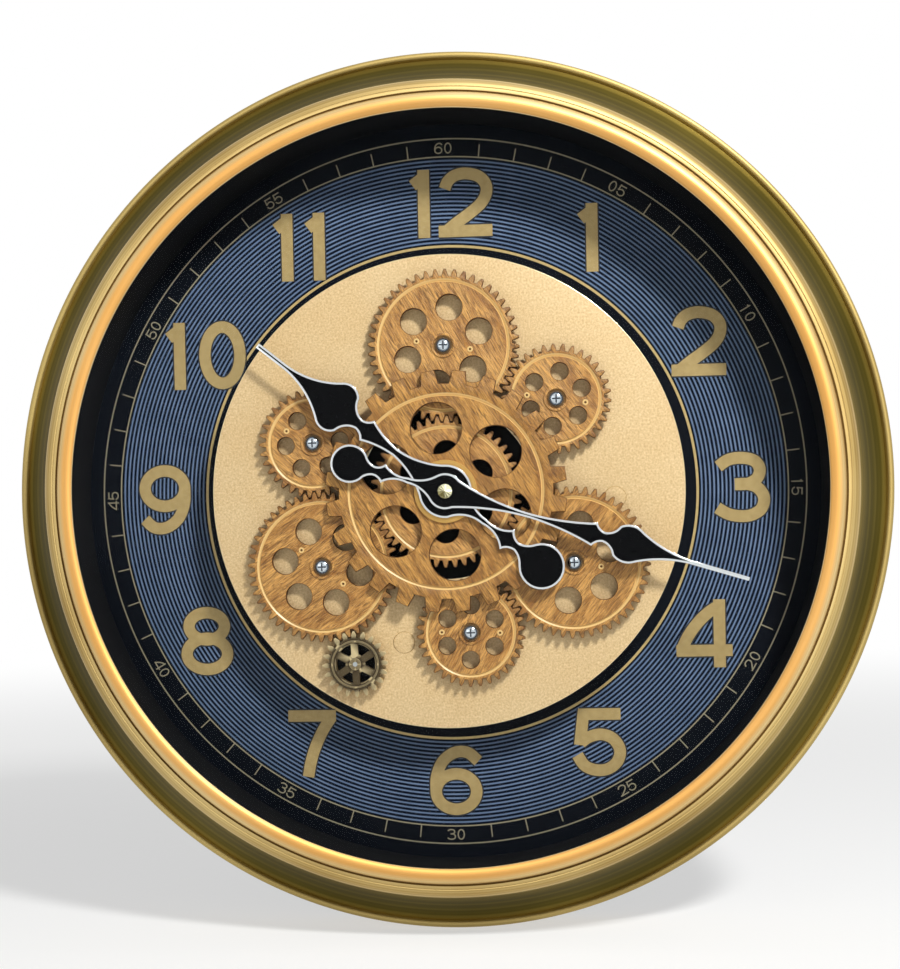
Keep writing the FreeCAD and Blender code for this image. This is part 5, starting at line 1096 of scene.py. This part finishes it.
# Washers under the screws: steel browned in oil
oiled_washer = mottled_finish("oil_browned_steel", "#7A5C36", "#3A2A18", 0.5, 0.35, 1.5)
CARRIED = (
    (zinc_steel, "axle_posts plate_posts bush_clip carrier_screws motor_screws motor_shaft drive_motor"
                 " drum_screws frame_screws spacer_screws tray_screws hanger_plate hanger_screws"),
    (turned_brass, "movement_stem stem_nut hour_pipe minute_arbor"),
    (black_abs, "movement_carrier movement_case battery_tray drive_gearbox dial_spacers"),
    (cell_jacket, "movement_cell drive_cells"), (grey_abs, "set_knob"), (rubber, "wall_pads"),
    (screw_steel_painted_shade, "axle_screws"), (oiled_washer, "axle_washers"), (polished_steel, "stem_washer"),
    (printed_dial, "dial_board"), (black_board, "back_board"))
for material, nodes in CARRIED:
    for node in nodes.split():
        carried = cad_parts[node]
        carried.data.materials.clear()
        carried.data.materials.append(material)

# Stage: a pale floor under the clock, a plain light room, one soft lamp high in front and a weaker one beside
# it. The camera stands where the photograph was taken. The floor is painted matt white and grows paler far out.

FLOOR_REACH, FLOOR_DROP, FADE_FROM, FADE_TO = 4.0, 0.0005, 0.4, 2.6
stage_mesh = bmesh.new()
bmesh.ops.create_grid(stage_mesh, x_segments=8, y_segments=8, size=FLOOR_REACH)
floor_mesh = bpy.data.meshes.new("floor")
stage_mesh.to_mesh(floor_mesh)
stage_mesh.free()
floor = bpy.data.objects.new("floor", floor_mesh)
bpy.context.collection.objects.link(floor)
floor.location.z = cad_low.z - FLOOR_DROP
floor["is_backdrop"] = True
# Matt off-white studio floor
floor_paint, floor_tree, floor_shader = new_material("matt_white_floor", Roughness=0.9)
floor_noise = add_node(floor_tree, "TexNoise", {"Scale": 3.0, "Detail": 2.0}).outputs[0]
floor_tone = add_node(floor_tree, "Mix", {0: floor_noise, 6: colour("#F2F2F0"), 7: colour("#F8F8F6")},
                      data_type="RGBA")
floor_tree.links.new(floor_tone.outputs[2], floor_shader.inputs["Base Color"])
floor_place = add_node(floor_tree, "TexCoord").outputs["Object"]
floor_reach = add_node(floor_tree, "VectorMath", {0: floor_place}, operation="LENGTH").outputs["Value"]
fade = add_node(floor_tree, "MapRange", {0: floor_reach, 1: FADE_FROM, 2: FADE_TO, 3: 0.55, 4: 1.0},
                interpolation_type="SMOOTHSTEP").outputs[0]


def seen_directly(tree):
    """Socket that is 1 for the camera's rays and for those that metal and glass send on, and 0 for light."""
    rays = add_node(tree, "LightPath").outputs
    plain_or_mirrored = add_node(tree, "Math", {0: rays["Is Camera Ray"], 1: rays["Is Glossy Ray"]},
                                 operation="MAXIMUM").outputs[0]
    return add_node(tree, "Math", {0: plain_or_mirrored, 1: rays["Is Transmission Ray"]},
                    operation="MAXIMUM").outputs[0]


floor_share = add_node(floor_tree, "Math", {0: fade, 1: seen_directly(floor_tree)},
                       operation="MULTIPLY").outputs[0]
floor_white = add_node(floor_tree, "Emission", {"Color": colour("#FFFFFF"), "Strength": 1.0}).outputs[0]
floor_mix = add_node(floor_tree, "MixShader", {0: floor_share, 1: floor_shader.outputs[0], 2: floor_white})
floor_tree.links.new(floor_mix.outputs[0], floor_tree.nodes["Material Output"].inputs["Surface"])
floor_mesh.materials.append(floor_paint)

ROOM_LIGHT = 0.2
room = bpy.data.worlds.new("pale_room")
bpy.context.scene.world = room
room.use_nodes = True
room_tree = room.node_tree
room_tree.nodes.clear()
plain = add_node(room_tree, "Background", {"Color": colour("#F6F8FA"), "Strength": ROOM_LIGHT})
white = add_node(room_tree, "Background", {"Color": colour("#FFFFFF"), "Strength": 1.0})
either = add_node(room_tree, "MixShader", {0: seen_directly(room_tree), 1: plain.outputs[0], 2: white.outputs[0]})
add_node(room_tree, "OutputWorld", {"Surface": either.outputs[0]})

DIAL_CENTRE = Vector((0.0, 0.0, -HANG_DROP / 1000))
for name, offset, size, watts in (("key_lamp", (0.87, -1.35, 1.35), 0.3, 50.0),
                                  ("fill_lamp", (-1.0, -1.3, 0.3), 0.9, 2.0)):
    lamp = bpy.data.lights.new(name, "AREA")
    lamp.size = size
    lamp.energy = watts
    stand = bpy.data.objects.new(name, lamp)
    stand.location = DIAL_CENTRE + Vector(offset)
    stand.rotation_euler = (DIAL_CENTRE - stand.location).to_track_quat("-Z", "Y").to_euler()
    bpy.context.collection.objects.link(stand)

# Camera: its place was fitted to the dial's circles and the axles, about a metre in front, slightly right of and
# below the centre
PICTURE_WIDTH, PICTURE_HEIGHT = 900, 969
FOCAL_PIXELS, CENTRE_COLUMN, CENTRE_ROW = 1454.196, 449.747, 578.844
EYE = Vector((67.99, -32.31, 990.07 + DIAL_FRONT))
TILTS = (0.0262, -0.0697, 0.0179)
turning = Euler(TILTS, "XYZ").to_matrix()
camera_data = bpy.data.cameras.new("camera")
camera_data.sensor_fit = "HORIZONTAL"
camera_data.sensor_width = 36.0
camera_data.lens = FOCAL_PIXELS / PICTURE_WIDTH * camera_data.sensor_width
camera_data.shift_x = (PICTURE_WIDTH / 2 - CENTRE_COLUMN) / PICTURE_WIDTH
camera_data.shift_y = (CENTRE_ROW - PICTURE_HEIGHT / 2) / PICTURE_WIDTH
camera = bpy.data.objects.new("camera", camera_data)
bpy.context.collection.objects.link(camera)
bpy.context.scene.camera = camera
axes = [Vector((row[0], -row[2], row[1])) for row in turning]
camera.matrix_world = Matrix.Translation(face_point(EYE.x, EYE.y, EYE.z)) @ Matrix(axes).transposed().to_4x4()

bpy.context.scene.view_settings.view_transform = "Standard"

low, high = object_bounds()
